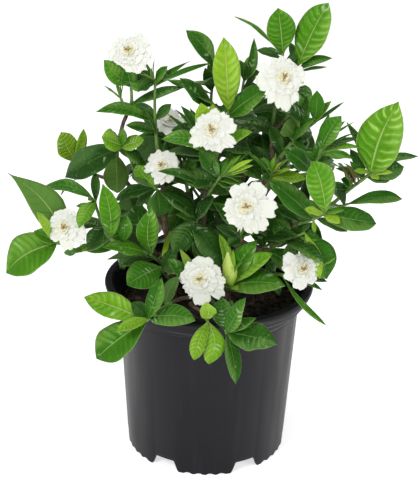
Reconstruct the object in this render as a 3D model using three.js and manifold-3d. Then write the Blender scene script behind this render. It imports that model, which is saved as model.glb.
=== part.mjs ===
// Potted gardenia: a moulded nursery pot on six feet, potting mix with a plain hole for
// each stem, five woody stems, the leafy green shoots on them, double blooms and one bud.
// Millimetres, +Z up, origin at the middle of the pot's base on the ground. The picture of the
// plant was taken from the -Y side, and "out" below is a distance from the axis towards it.

import * as THREE from 'three';
import { mergeVertices } from 'three/addons/utils/BufferGeometryUtils.js';
import Module from 'manifold-3d';

const wasm = await Module();
wasm.setup();

// Pot
const POT_HEIGHT = 215;
const RIM_RADIUS = 125;
const LIP_INNER_RADIUS = 115;
const COLLAR_HEIGHT = 32.5;
const NECK_RADIUS = 108;
const BASE_RADIUS = 96;
const WALL = 2.4;
const FOOT_HEIGHT = 19;
const POT_SIDES = 36;
const NOTCH_COUNT = 6;
const NOTCH_TOP_WIDTH = 22;
const NOTCH_FOOT_WIDTH = 33;
const NOTCH_HEIGHT = 14;
const NICKS_PER_FOOT = 4;
const NICK_PITCH = 8;
const NICK_HEIGHT = 2;

// Potting mix
const SOIL_TOP = 185;
const SOIL_RINGS = 3;
const SOIL_SIDES = 16;
const SOIL_BUMP = 1.6;
const HOLE_SHARE = 1.35;
const HOLE_SIDES = 8;
const CLEARANCE = 0.3;
const FUSE_TOLERANCE = 0.1;

// Stems: sides of the tubes, and the depth that a stem stands in its hole
const WOOD_SIDES = 5;
const SHOOT_SIDES = 4;
const ROOT_DEPTH = 32;
const END_SWELL = 1.3;

// Leaf blades: half width of the root, thickness at the root, and the shares of the length that
// the arch takes and of the width that the fold and the waved edge take
const ROOT_HALF_WIDTH = 1;
const BLADE_THICKNESS = 1.6;
const ARCH = 0.1;
const YOUNG_ARCH = 0.07;
const FOLD = 0.05;
const WAVE = 0.06;

// Blade outlines, as [share of the length, share of the width]
const BIG_LEAF_OUTLINE = [[0.14, 0.36], [0.3, 0.78], [0.5, 1], [0.7, 0.9], [0.87, 0.52]];
const LEAF_OUTLINE = [[0.28, 0.68], [0.57, 1], [0.83, 0.6]];
const SMALL_LEAF_OUTLINE = [[0.36, 0.9], [0.74, 0.8]];
const BIG_LEAF_WIDTH = 30;
const FACET_WIDTH = 1.1;
const SMALL_LEAF_WIDTH = 17;

// Leaves in opposite pairs that grow by rule
const PAIR_LENGTH = 62;
const PAIR_WIDTH = 0.46;
const PAIR_SEED = 20261;

// Leaves that leave a stem at one place stand this far apart along it
const LEAF_STEP = 2.4;

// Sepals of a spent flower
const SEPAL_COUNT = 5;
const SEPAL_LENGTH = 26;
const SEPAL_WIDTH = 3;
const SEPAL_OUTLINE = [[0.45, 1]];

// Blooms: a corolla tube as [height, radius], then layers of petals, each on one side of a hub.
// A petal is its corners, as [share of the reach, share of the hub side's angle, lift].
const TUBE_LENGTH = 13;
const TUBE_RINGS = [[-TUBE_LENGTH, 1.8], [-4, 2.6]];
const HUB_SIDES = 6;
const PETAL_THICKNESS = 1.2;
const PETAL_CORNERS = [[0.62, 0.05, 0.03], [0.96, 0.24, 0.02], [1, 0.7, -0.02], [0.66, 0.95, -0.03]];
const PETAL_TRIANGLES = [[0, 1, 2], [0, 2, 5], [2, 3, 5], [3, 4, 5]];
const PETAL_LAYERS = [
  { hubRadius: 5, hubHeight: -1.4, reach: 1, rise: -0.04, every: 1, turn: 0 },
  { hubRadius: 4.4, hubHeight: 2.6, reach: 0.78, rise: 0.32, every: 1, turn: 0.5 },
  { hubRadius: 3.2, hubHeight: 6, reach: 0.44, rise: 0.52, every: 2, turn: 0.2 },
];
const HEART_HEIGHT = 10;

// Bud outline, as [height, radius], then its tip
const BUD_OUTLINE = [[0, 2.2], [5, 5], [12, 7], [20, 6.4], [30, 4], [40, 2]];
const BUD_TIP = 46;

// Colours
const BLACK_PLASTIC = 0x343438;
const PEAT = 0x2b211b;
const BARK = 0x6b5a48;
const GREEN = 0x3f6b2a;
const PETAL = 0xf4f2ea;
const BUD_GREEN = 0xb8cc5a;

// The camera that the picture points below belong to: a 419 by 480 frame
const FRAME_WIDTH = 419;
const FRAME_HEIGHT = 480;
const FOCAL_PIXELS = 1266;
const CAMERA_DISTANCE = 1500;
const CAMERA_ELEVATION = THREE.MathUtils.degToRad(22.7);
const CAMERA_ROLL = THREE.MathUtils.degToRad(1.4);
const CAMERA_TARGET = new THREE.Vector3(-0.8, 0, 264);

// Leaf ages, from a young lime leaf to an old dark one
const LIME = 1;
const BRIGHT = 0.7;
const MID = 0.45;
const DARK = 0.1;

// A leaf that would touch another piece is bent clear: it moves its tip along the line of sight
// by the first number, in millimetres, and rolls about its midrib by the second, in degrees.
const BENDS = [
  [0, 0], [0, 18], [0, -18], [7, 8], [-7, -8], [13, 0], [-13, 0], [9, 34], [-9, -34], [20, 12], [-20, -12],
  [0, 45], [0, -45], [28, 0], [-28, 0], [20, 50], [-20, -50], [38, 20], [-38, -20],
];
const LEAF_GAP = 0.3;
const OWN_OVERLAP = 14;

// Each stem: its parent and the point on the parent's path where it forks, then its path of
// picture points [x, y, out]. Places on a stem are counted in path points, 0 at the fork.
// "wood" is where the bark ends and the green shoot begins. A leaf is
// [place on the stem, tip x, tip y, tip out, width in mm, roll in degrees, age].
const STEMS = [
  {
    name: 'trunk_left', root: [-43, 0], wood: 5, radius: [4.6, 1.5],
    path: [[172, 262, 10], [165, 222, 18], [163, 190, 15], [158, 152, 10], [155, 118, 8], [155, 80, 8]],
    leaves: [
      [6.9, 190, 61, -4, 14, 25, MID], [6.9, 212, 63, 10, 9, 45, DARK], [6, 143, 111, 10, 12, 0, DARK],
      [6, 171, 104, 8, 11, 20, DARK], [5.6, 126, 125, 16, 14, 0, MID], [5.9, 97, 110, 20, 17, 0, BRIGHT],
    ],
    pairs: 1, size: 38, end: 'calyx', tilt: [-0.5, -0.2, 0.8],
  },
  {
    name: 'crown_left', parent: 'trunk_left', at: 3.3, wood: 4.5, radius: [3.2, 1.5],
    path: [
      [148, 203, 8], [128, 184, 0], [117, 160, -2], [122, 127, -2], [131, 104, 0], [131, 84, 4],
      [129, 51, 10],
    ],
    leaves: [
      [6, 104, 60, 16, 22, 0, BRIGHT], [6, 126, 67, 12, 17, -30, MID], [6, 153, 72, -4, 20, 0, DARK],
      [5, 184, 86, -8, 13, 0, DARK],
    ],
    pairs: 1, size: 45, end: 'bloom', face: [-0.15, -0.75, 0.6], across: 50,
  },
  {
    name: 'star_left', parent: 'crown_left', at: 4.9, wood: 0, radius: [1.6, 1.5],
    path: [[125, 106, 8], [121, 99, 10]],
    leaves: [], end: 'calyx', tilt: [-0.35, -0.1, 0.9],
  },
  {
    name: 'left_high', parent: 'crown_left', at: 2.3, wood: 1.4, radius: [2.4, 1.4],
    path: [[106, 178, -18], [88, 171, -26], [74, 161, -30]],
    leaves: [[3, 61, 132, -24, 27, 10, LIME], [3, 84, 129, -36, 12, 40, LIME]],
    pairs: 2, size: 46,
  },
  {
    name: 'left_mid', parent: 'crown_left', at: 3, wood: 0.5, radius: [2.3, 1.5],
    path: [[116, 153, 14], [122, 146, 24]],
    leaves: [
      [2, 102, 137, 36, 25, 0, LIME], [2, 144, 140, 28, 20, 0, BRIGHT], [1.6, 64, 176, 26, 38, 0, DARK],
      [1.6, 147, 167, 16, 13, 0, MID], [0.9, 117, 193, 28, 30, 150, MID],
    ],
  },
  {
    name: 'left_inner', parent: 'trunk_left', at: 3.8, wood: 0.4, radius: [2.4, 1.5],
    path: [[158, 191, 34], [154, 187, 42]],
    leaves: [
      [2, 135, 165, 46, 17, 0, BRIGHT], [2, 114, 200, 34, 17, 0, DARK], [1.2, 160, 217, 50, 27, 0, DARK],
      [1.1, 197, 217, 46, 25, 0, DARK],
    ],
  },
  {
    name: 'left_out', parent: 'trunk_left', at: 2.2, wood: 2, radius: [3, 1.6],
    path: [[150, 254, 32], [128, 246, 46], [110, 238, 54], [100, 218, 54], [94, 199, 52]],
    leaves: [
      [5, 42, 186, 46, 20, 10, MID], [5, 79, 228, 98, 17, 0, BRIGHT], [5, 95, 172, 42, 10, 0, DARK],
      [3, 103, 185, 66, 22, 0, BRIGHT], [3.1, 119, 203, 58, 15, 0, MID], [3.7, 90, 250, 64, 20, 0, DARK],
      [2.3, 125, 213, 54, 17, 0, MID],
    ],
    pairs: 1, size: 40,
  },
  {
    name: 'left_bloom', parent: 'left_out', at: 3, wood: 0, radius: [1.8, 1.5],
    path: [[96, 248, 58], [78, 250, 62], [57, 243, 64]],
    leaves: [
      [3, 5, 272, 72, 50, 0, BRIGHT], [2.9, 34, 231, 60, 17, 0, BRIGHT],
      [2.8, 39, 211, 66, 14, 0, LIME], [2, 89, 245, 60, 8, 0, BRIGHT],
    ],
  },
  {
    name: 'left_flower', parent: 'left_bloom', at: 2.3, wood: 0, radius: [1.6, 1.5],
    path: [[66, 241, 68], [64, 227, 78]],
    leaves: [[0.9, 8, 173, 56, 30, 0, BRIGHT]], end: 'bloom', face: [-0.1, -0.9, 0.4], across: 50,
  },
  {
    name: 'rim_left', parent: 'trunk_left', at: 1.8, wood: 0.6, radius: [2.4, 1.5],
    path: [[160, 262, 30], [150, 254, 40]],
    leaves: [
      [2, 107, 259, 44, 20, 30, BRIGHT], [1.9, 151, 209, 62, 26, 0, BRIGHT], [1.6, 130, 243, 34, 18, 0, DARK],
    ],
    pairs: 1, size: 40,
  },
  {
    name: 'soil_left', parent: 'trunk_left', at: 1.4, wood: 0.5, radius: [2.2, 1.5],
    path: [[168, 278, 36], [160, 267, 54]],
    leaves: [[2, 127, 285, 76, 32, 0, BRIGHT], [1.6, 176, 247, 40, 16, 0, DARK]],
    pairs: 1, size: 38,
  },
  {
    name: 'trunk_front', root: [-14, -26], wood: 3, radius: [4.2, 1.9],
    path: [[200, 297, 46], [214, 290, 66], [231, 286, 84]],
    leaves: [
      [3.6, 272, 253, 96, 20, 0, LIME], [3.4, 256, 240, 80, 24, 0, MID], [3.8, 221, 234, 78, 9, 40, LIME],
      [3.6, 285, 285, 112, 31, 0, MID], [3.9, 240, 289, 108, 8, 0, LIME],
    ],
    end: 'bud', tilt: [-0.12, -0.15, 1],
  },
  {
    name: 'front_left', parent: 'trunk_front', at: 2, wood: 1.3, radius: [2.6, 1.7],
    path: [[180, 299, 85], [161, 309, 122], [146, 321, 142]],
    leaves: [
      [3, 84, 297, 130, 28, 0, LIME], [3, 96, 358, 162, 41, 0, BRIGHT], [3, 117, 331, 158, 9, 0, LIME],
      [3, 195, 320, 160, 26, 0, BRIGHT], [2.9, 161, 278, 136, 22, 0, MID], [2.8, 132, 302, 130, 17, 0, DARK],
    ],
  },
  {
    name: 'front_lime', parent: 'trunk_front', at: 1.6, wood: 1.9, radius: [2, 1.4],
    path: [[190, 304, 78], [202, 312, 118], [208, 322, 142]],
    leaves: [
      [3, 194, 360, 165, 20, 0, LIME], [3, 209, 364, 172, 23, 0, LIME], [3, 207, 303, 152, 17, 0, LIME],
    ],
  },
  {
    name: 'front_centre', parent: 'trunk_front', at: 2.4, wood: 1, radius: [2.6, 1.6],
    path: [[213, 302, 95], [221, 317, 130], [227, 334, 148]],
    leaves: [
      [3, 236, 384, 172, 20, 0, MID], [3, 277, 343, 166, 36, 0, MID], [2.9, 245, 298, 158, 20, 0, BRIGHT],
      [2.8, 222, 297, 146, 21, 0, DARK],
    ],
  },
  {
    name: 'front_flower', parent: 'trunk_front', at: 2.7, wood: 0.6, radius: [2, 1.6],
    path: [[202, 291, 88], [200, 279, 110]],
    leaves: [[1, 168, 259, 86, 17, 0, MID], [1.1, 181, 249, 84, 10, 0, LIME]],
    end: 'bloom', face: [-0.05, -0.88, 0.45], across: 56,
  },
  {
    name: 'trunk_centre', root: [-4, 10], wood: 5, radius: [4.2, 1.6],
    path: [[205, 262, 8], [203, 225, 14], [206, 196, 18], [214, 165, 15], [222, 135, 12], [229, 111, 8]],
    leaves: [
      [7, 224, 38, 22, 34, 0, LIME], [6.8, 268, 88, 24, 27, 0, MID], [5.6, 196, 176, -6, 16, 0, DARK],
    ],
    pairs: 3, size: 46,
  },
  {
    name: 'centre_low', parent: 'trunk_centre', at: 3, wood: 0.6, radius: [2.2, 1.5],
    path: [[198, 225, 36], [193, 222, 48]],
    leaves: [
      [2, 173, 253, 64, 27, 0, DARK], [2, 221, 267, 72, 27, 0, DARK], [1.7, 213, 196, 40, 16, 0, DARK],
    ],
  },
  {
    name: 'top_left', parent: 'trunk_centre', at: 4.6, wood: 0.8, radius: [2.4, 1.4],
    path: [[212, 132, -5], [211, 100, -8], [215, 69, -8]],
    leaves: [
      [3, 187, 30, -10, 20, 0, MID], [2.3, 205, 68, -4, 14, 0, DARK], [1.8, 180, 78, 0, 19, 0, DARK],
    ],
    pairs: 2, size: 42, end: 'calyx', tilt: [0.2, -0.3, 0.9],
  },
  {
    name: 'crown_dark', parent: 'trunk_centre', at: 4.5, wood: 0.6, radius: [2.2, 1.4],
    path: [[237, 112, -14], [244, 80, -14]],
    leaves: [
      [2, 256, 54, -12, 16, 0, BRIGHT], [2, 254, 38, -16, 9, 0, DARK], [1.8, 259, 90, -6, 11, 0, DARK],
    ],
    pairs: 1, size: 42,
  },
  {
    name: 'centre_flower', parent: 'trunk_centre', at: 4.4, wood: 0.5, radius: [2.2, 1.6],
    path: [[211, 152, 40], [211, 130, 62]],
    leaves: [
      [1, 163, 138, 50, 22, 0, BRIGHT], [1.2, 252, 131, 48, 17, 0, BRIGHT], [1, 213, 103, 26, 15, 20, LIME],
      [0.9, 181, 106, 20, 11, 0, DARK], [0.8, 168, 114, 14, 6, 0, DARK],
    ],
    end: 'bloom', face: [0, -0.85, 0.5], across: 54,
  },
  {
    name: 'back_flower', parent: 'trunk_left', at: 4.6, wood: 0.5, radius: [1.9, 1.5],
    path: [[166, 142, -14], [170, 121, -22]],
    leaves: [[0.9, 186, 122, -14, 12, 0, DARK]],
    end: 'bloom', face: [0.2, -0.3, 0.9], across: 34,
  },
  {
    name: 'inner_flower', parent: 'trunk_left', at: 4.2, wood: 0.6, radius: [2, 1.6],
    path: [[163, 180, 28], [163, 166, 42]],
    leaves: [],
    end: 'bloom', face: [-0.35, -0.7, 0.6], across: 52,
  },
  {
    name: 'star_centre', parent: 'trunk_centre', at: 3.6, wood: 0.6, radius: [2.2, 1.7],
    path: [[211, 190, 42], [221, 176, 60]],
    leaves: [
      [1.6, 182, 178, 52, 26, 0, DARK], [1.8, 200, 150, 44, 21, 0, DARK], [1, 156, 173, 26, 20, 0, DARK],
      [1.5, 242, 187, 56, 12, 0, MID],
    ],
    end: 'calyx', tilt: [0.85, -0.3, 0.45],
  },
  {
    name: 'trunk_right', root: [22, -4], wood: 5, radius: [4.6, 1.7],
    path: [[232, 262, 15], [246, 226, 20], [262, 188, 15], [280, 158, 12], [298, 136, 12], [315, 122, 14]],
    leaves: [
      [7, 317, 91, 20, 16, 0, MID], [7, 331, 101, 18, 9, 0, BRIGHT], [6.8, 344, 102, 16, 4, 0, DARK],
      [6.8, 271, 102, 26, 18, 0, DARK], [6.6, 289, 103, 18, 6, 0, DARK], [6, 285, 122, 30, 18, 120, LIME],
    ],
    pairs: 1, size: 44,
  },
  {
    name: 'right_mid', parent: 'trunk_right', at: 4.2, wood: 0.8, radius: [2.4, 1.5],
    path: [[294, 176, 30], [311, 171, 42], [321, 149, 48]],
    leaves: [
      [3, 341, 116, 50, 20, 0, MID], [3, 359, 138, 42, 7, 0, DARK], [3, 361, 147, 52, 8, 0, MID],
      [2, 283, 149, 48, 22, 0, DARK], [2.3, 334, 160, 38, 14, 0, DARK],
    ],
    pairs: 1, size: 40,
  },
  {
    name: 'crown_right', parent: 'trunk_right', at: 4.6, wood: 1.4, radius: [2.8, 1.5],
    path: [[272, 138, -6], [275, 106, -10], [280, 76, -10], [283, 53, -8]],
    leaves: [
      [4, 278, 8, -4, 31, 0, BRIGHT], [3.9, 236, 15, -14, 11, 20, BRIGHT], [4, 288, 15, -18, 8, 60, MID],
      [3.7, 257, 50, -10, 11, 0, DARK],
    ],
    pairs: 2, size: 42,
  },
  {
    name: 'crown_flower', parent: 'crown_right', at: 2.2, wood: 0, radius: [1.7, 1.6],
    path: [[281, 90, 14], [284, 78, 28]],
    leaves: [],
    end: 'bloom', face: [0.05, -0.8, 0.55], across: 58,
  },
  {
    name: 'far_right', parent: 'crown_right', at: 1.2, wood: 0.6, radius: [2.2, 1.4],
    path: [[290, 112, -18], [297, 88, -16], [298, 65, -12]],
    leaves: [
      [3, 328, 3, -6, 36, 0, BRIGHT], [2.8, 332, 58, -6, 10, 30, DARK], [2.7, 327, 67, 0, 5, 0, DARK],
      [2.9, 290, 42, -22, 10, 0, DARK],
    ],
    pairs: 2, size: 44,
  },
  {
    name: 'right_lime', parent: 'trunk_right', at: 3, wood: 2.2, radius: [3, 1.7],
    path: [[268, 232, 36], [292, 226, 54], [313, 219, 66], [326, 213, 74]],
    leaves: [
      [4, 314, 162, 82, 36, 0, LIME], [4, 305, 209, 84, 11, 0, LIME], [4, 340, 223, 84, 12, 0, LIME],
      [3.8, 377, 223, 62, 32, 0, MID], [3, 268, 180, 66, 28, 0, DARK], [2.4, 275, 206, 48, 15, 0, DARK],
    ],
  },
  {
    name: 'star_right', parent: 'trunk_right', at: 3.6, wood: 0.6, radius: [2, 1.6],
    path: [[268, 184, 38], [272, 173, 50]],
    leaves: [[1.6, 306, 178, 54, 16, 0, BRIGHT], [1.2, 263, 157, 40, 14, 0, DARK]],
    end: 'calyx', tilt: [0.1, -0.5, 0.8],
  },
  {
    name: 'right_hero', parent: 'right_lime', at: 1.6, wood: 1.6, radius: [2.6, 1.8],
    path: [[308, 212, 14], [330, 205, 26], [346, 192, 38], [362, 180, 46], [371, 173, 50]],
    leaves: [
      [5, 398, 102, 58, 47, 0, BRIGHT], [4.8, 379, 179, 62, 7, 0, LIME], [4.6, 404, 166, 38, 30, 0, DARK],
      [4.4, 418, 156, 22, 9, 0, DARK], [4.4, 350, 149, 36, 12, 0, DARK], [4.9, 347, 122, 28, 9, 0, DARK],
    ],
    pairs: 1, size: 40,
  },
  {
    name: 'right_low', parent: 'right_hero', at: 2.1, wood: 0, radius: [1.8, 1.5],
    path: [[340, 206, 38], [348, 204, 42]],
    leaves: [[2, 402, 198, 46, 20, 0, MID], [1.6, 337, 189, 44, 10, 0, DARK]],
  },
  {
    name: 'right_rim', parent: 'trunk_right', at: 2.6, wood: 1.2, radius: [2.6, 1.6],
    path: [[264, 250, 36], [286, 240, 58], [305, 233, 72]],
    leaves: [
      [3, 327, 279, 84, 36, 0, MID], [2.6, 262, 238, 62, 18, 0, DARK], [2.8, 306, 222, 50, 12, 0, DARK],
    ],
    pairs: 1, size: 42,
  },
  {
    name: 'right_flower', parent: 'trunk_right', at: 2.1, wood: 1, radius: [2.4, 1.6],
    path: [[262, 270, 46], [286, 275, 74], [303, 269, 98]],
    leaves: [[2.1, 327, 281, 84, 12, 0, DARK], [1.8, 326, 325, 98, 8, 30, MID]],
    end: 'bloom', face: [0.1, -0.85, 0.45], across: 48,
  },
  {
    name: 'middle_flower', parent: 'trunk_right', at: 2.8, wood: 0.8, radius: [2.4, 1.7],
    path: [[240, 240, 48], [243, 222, 76], [246, 207, 96]],
    leaves: [[1.4, 214, 202, 60, 17, 0, DARK], [1.2, 228, 246, 66, 15, 0, DARK]],
    end: 'bloom', face: [0.05, -0.88, 0.42], across: 60,
  },
  {
    name: 'trunk_back', root: [6, 34], wood: 5, radius: [4.4, 1.8],
    path: [[222, 262, -40], [232, 225, -52], [240, 190, -62], [246, 160, -70], [248, 128, -76]],
    leaves: [], pairs: 2, size: 64,
  },
  {
    name: 'inner_left', parent: 'trunk_left', at: 2.6, wood: 1, radius: [2.6, 1.6],
    path: [[150, 200, -20], [138, 180, -34], [130, 158, -40]],
    leaves: [], pairs: 7, fills: true,
  },
  {
    name: 'inner_centre', parent: 'trunk_centre', at: 2.7, wood: 1, radius: [2.6, 1.6],
    path: [[188, 192, -22], [184, 162, -38], [186, 132, -44]],
    leaves: [], pairs: 7, fills: true,
  },
  {
    name: 'inner_crown', parent: 'inner_centre', at: 2, wood: 0, radius: [1.8, 1.5],
    path: [[214, 148, -38], [238, 132, -36], [252, 114, -34]],
    leaves: [], pairs: 7, fills: true,
  },
  {
    name: 'inner_heart', parent: 'inner_centre', at: 1.5, wood: 0, radius: [1.8, 1.5],
    path: [[204, 204, -20], [216, 216, -14], [226, 224, -10]],
    leaves: [], pairs: 8, fills: true,
  },
  {
    name: 'inner_right', parent: 'trunk_right', at: 2.4, wood: 1, radius: [2.6, 1.6],
    path: [[268, 190, -22], [290, 160, -34], [304, 132, -38]],
    leaves: [], pairs: 7, fills: true,
  },
  {
    name: 'inner_top', parent: 'inner_right', at: 2.4, wood: 0, radius: [1.8, 1.5],
    path: [[296, 122, -28], [294, 106, -26]],
    leaves: [], pairs: 5, fills: true,
  },
  {
    name: 'inner_low_right', parent: 'trunk_right', at: 1.6, wood: 1, radius: [2.6, 1.6],
    path: [[256, 254, -6], [276, 240, -16], [296, 230, -20]],
    leaves: [], pairs: 6, fills: true,
  },
  {
    name: 'inner_low_left', parent: 'trunk_left', at: 1.6, wood: 1, radius: [2.6, 1.6],
    path: [[150, 246, -10], [130, 234, -24], [114, 224, -30]],
    leaves: [], pairs: 6, fills: true,
  },
  {
    name: 'back_left', parent: 'trunk_back', at: 3, wood: 2, radius: [3, 1.6],
    path: [[206, 196, -82], [182, 172, -96], [162, 150, -104]],
    leaves: [], pairs: 4, size: 66,
  },
  {
    name: 'back_right', parent: 'trunk_back', at: 3.4, wood: 2, radius: [3, 1.6],
    path: [[270, 184, -80], [296, 172, -92], [320, 160, -98]],
    leaves: [], pairs: 4, size: 66,
  },
  {
    name: 'back_middle', parent: 'trunk_back', at: 2.6, wood: 1.5, radius: [3, 1.6],
    path: [[236, 212, -80], [240, 190, -104], [242, 172, -116]],
    leaves: [], pairs: 4, size: 66,
  },
  {
    name: 'back_low_left', parent: 'trunk_back', at: 2, wood: 1.5, radius: [3, 1.6],
    path: [[200, 242, -72], [176, 226, -100], [156, 212, -120]],
    leaves: [], pairs: 4, size: 66,
  },
  {
    name: 'back_low_right', parent: 'trunk_back', at: 2.2, wood: 1.5, radius: [3, 1.6],
    path: [[262, 240, -70], [288, 226, -96], [308, 214, -114]],
    leaves: [], pairs: 4, size: 66,
  },
];

// Leaves that grow by rule stay inside the outline of the foliage in the picture, and out of
// the clear gaps in it, as [x, y, radius].
const FOLIAGE_OUTLINE = [
  [62, 168], [98, 120], [120, 92], [142, 92], [156, 104], [190, 104], [194, 60], [222, 70], [250, 58],
  [276, 56], [300, 58], [312, 92], [340, 128], [360, 150], [384, 176], [366, 214], [334, 232], [326, 262],
  [306, 282], [280, 296], [150, 300], [112, 262], [62, 248], [28, 226], [46, 186],
];
const FOLIAGE_GAPS = [[172, 100, 14], [126, 166, 7], [330, 156, 5], [346, 195, 5]];

// Points of a rule leaf that are tried against the picture, as [share of length, share of width]
const RULE_SAMPLES = [[0.5, 0.6], [0.75, 0.5], [1, 0]];

// The clear picture that leaves of the inner shoots still have to fill, in cells of some pixels
const CELL = 5;
const LEAST_GAINS = [16, 9, 5];

const UP = new THREE.Vector3(0, 0, 1);
const FORWARD_LIGHT = new THREE.Vector3(0, -0.55, 0.83);
const SIDE_HINT = new THREE.Vector3(0.3, 0.93, 0.1);
const rollCos = Math.cos(CAMERA_ROLL);
const rollSin = Math.sin(CAMERA_ROLL);
const forward = new THREE.Vector3(0, Math.cos(CAMERA_ELEVATION), -Math.sin(CAMERA_ELEVATION));
const levelUp = new THREE.Vector3(0, Math.sin(CAMERA_ELEVATION), Math.cos(CAMERA_ELEVATION));
const pictureRight = new THREE.Vector3(rollCos, 0, 0).addScaledVector(levelUp, rollSin);
const pictureUp = new THREE.Vector3(-rollSin, 0, 0).addScaledVector(levelUp, rollCos);
const eye = CAMERA_TARGET.clone().addScaledVector(forward, -CAMERA_DISTANCE);

// The model point that a picture point shows, at a distance "out" from the axis
function sight(x, y, out) {
  const ray = forward.clone()
    .addScaledVector(pictureRight, (x - FRAME_WIDTH / 2) / FOCAL_PIXELS)
    .addScaledVector(pictureUp, (FRAME_HEIGHT / 2 - y) / FOCAL_PIXELS);
  return eye.clone().addScaledVector(ray, (-out - eye.y) / ray.y);
}

function pictureOf(point) {
  const offset = point.clone().sub(eye);
  const depth = offset.dot(forward);
  return [
    FRAME_WIDTH / 2 + (FOCAL_PIXELS * offset.dot(pictureRight)) / depth,
    FRAME_HEIGHT / 2 - (FOCAL_PIXELS * offset.dot(pictureUp)) / depth,
    depth,
  ];
}

function insideFoliage(x, y) {
  let inside = false;
  FOLIAGE_OUTLINE.forEach(([ax, ay], i) => {
    const [bx, by] = FOLIAGE_OUTLINE[(i + 1) % FOLIAGE_OUTLINE.length];
    if (ay > y !== by > y && x < ax + ((bx - ax) * (y - ay)) / (by - ay)) inside = !inside;
  });
  return inside && FOLIAGE_GAPS.every(([gx, gy, radius]) => Math.hypot(x - gx, y - gy) > radius);
}

// A closed solid through rings of points, each ring clockwise as seen looking along the loft.
// A ring of one point closes it to a tip. The diagonals turn at each corner, so that the two
// faces of a thin blade are split alike.
function loft(rings) {
  const points = rings.flat();
  const faces = [];
  const starts = [];
  let count = 0;
  rings.forEach((ring) => {
    starts.push(count);
    count += ring.length;
  });
  const cap = (start, size, outward) => {
    for (let k = 1; k < size - 1; k += 1) {
      faces.push(outward ? [start, start + k, start + k + 1] : [start, start + k + 1, start + k]);
    }
  };
  cap(0, rings[0].length, false);
  for (let i = 0; i < rings.length - 1; i += 1) {
    const sides = Math.max(rings[i].length, rings[i + 1].length);
    for (let k = 0; k < sides; k += 1) {
      const next = (k + 1) % sides;
      const a = starts[i] + (rings[i].length > 1 ? k : 0);
      const b = starts[i] + (rings[i].length > 1 ? next : 0);
      const c = starts[i + 1] + (rings[i + 1].length > 1 ? next : 0);
      const d = starts[i + 1] + (rings[i + 1].length > 1 ? k : 0);
      if (a === b) faces.push([a, c, d]);
      else if (c === d) faces.push([a, b, c]);
      else if (k % 2) faces.push([a, b, d], [b, c, d]);
      else faces.push([a, b, c], [a, c, d]);
    }
  }
  cap(starts.at(-1), rings.at(-1).length, true);
  return new wasm.Manifold(new wasm.Mesh({
    numProp: 3,
    vertProperties: new Float32Array(points.flatMap((point) => point.toArray())),
    triVerts: new Uint32Array(faces.flat()),
  }));
}

function solidOf(geometry) {
  const bare = geometry.clone();
  bare.deleteAttribute('normal');
  bare.deleteAttribute('uv');
  const merged = mergeVertices(bare, 1e-3);
  return new wasm.Manifold(new wasm.Mesh({
    numProp: 3,
    vertProperties: new Float32Array(merged.attributes.position.array),
    triVerts: new Uint32Array(merged.index.array),
  }));
}

// Keeps the outer skin of the largest body: a sealed hollow is filled and a loose scrap dropped
function oneBody(solid) {
  return solid.decompose().reduce((best, piece) => (piece.volume() > best.volume() ? piece : best));
}

function meshOf(name, solid, color, roughness) {
  const { vertProperties, triVerts } = oneBody(solid).simplify(FUSE_TOLERANCE).getMesh();
  const geometry = new THREE.BufferGeometry();
  geometry.setAttribute('position', new THREE.Float32BufferAttribute(vertProperties, 3));
  geometry.setIndex(Array.from(triVerts));
  geometry.computeVertexNormals();
  const mesh = new THREE.Mesh(geometry, new THREE.MeshStandardMaterial({ color, roughness, metalness: 0 }));
  mesh.name = name;
  return mesh;
}

// Pot: a lathe-turned shell on a foot skirt, with sloping notches between the feet and small
// nicks in each foot's lower edge
function makePot() {
  const neck = POT_HEIGHT - COLLAR_HEIGHT;
  const top = POT_HEIGHT;
  const outline = [
    [0, FOOT_HEIGHT], [BASE_RADIUS - WALL + 1, FOOT_HEIGHT], [BASE_RADIUS - WALL, 0], [BASE_RADIUS, 0],
    [NECK_RADIUS, neck], [NECK_RADIUS + 4, neck + 6], [NECK_RADIUS + 11, neck + 16],
    [RIM_RADIUS - 1.4, neck + 25], [RIM_RADIUS, top - 3.4], [RIM_RADIUS - 3, top],
    [LIP_INNER_RADIUS + 1, top - 0.8], [LIP_INNER_RADIUS - 1, top - 5],
    [NECK_RADIUS - WALL, neck], [BASE_RADIUS - WALL + 1.4, FOOT_HEIGHT + WALL], [0, FOOT_HEIGHT + WALL],
  ].map(([radius, height]) => new THREE.Vector2(radius, height));
  const shell = new THREE.LatheGeometry(outline, POT_SIDES).rotateX(Math.PI / 2);
  let pot = solidOf(shell);

  const reach = BASE_RADIUS * 1.2;
  const arch = new THREE.Shape([
    new THREE.Vector2(-NOTCH_FOOT_WIDTH / 2, -1), new THREE.Vector2(NOTCH_FOOT_WIDTH / 2, -1),
    new THREE.Vector2(NOTCH_TOP_WIDTH / 2, NOTCH_HEIGHT),
    new THREE.Vector2(-NOTCH_TOP_WIDTH / 2, NOTCH_HEIGHT),
  ]);
  const nick = new THREE.Shape([
    new THREE.Vector2(-NICK_PITCH * 0.5, -1), new THREE.Vector2(NICK_PITCH * 0.5, -1),
    new THREE.Vector2(0, NICK_HEIGHT),
  ]);
  const cutter = (shape, degrees) => new THREE.ExtrudeGeometry(shape, { depth: reach, bevelEnabled: false })
    .rotateX(Math.PI / 2)
    .rotateZ(THREE.MathUtils.degToRad(degrees));
  for (let foot = 0; foot < NOTCH_COUNT; foot += 1) {
    const middle = (foot * 360) / NOTCH_COUNT;
    pot = pot.subtract(solidOf(cutter(arch, middle + 180 / NOTCH_COUNT)));
    for (let k = 0; k < NICKS_PER_FOOT; k += 1) {
      const turn = (k - (NICKS_PER_FOOT - 1) / 2) * NICK_PITCH;
      pot = pot.subtract(solidOf(cutter(nick, middle + turn)));
    }
  }
  return pot;
}

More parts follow.
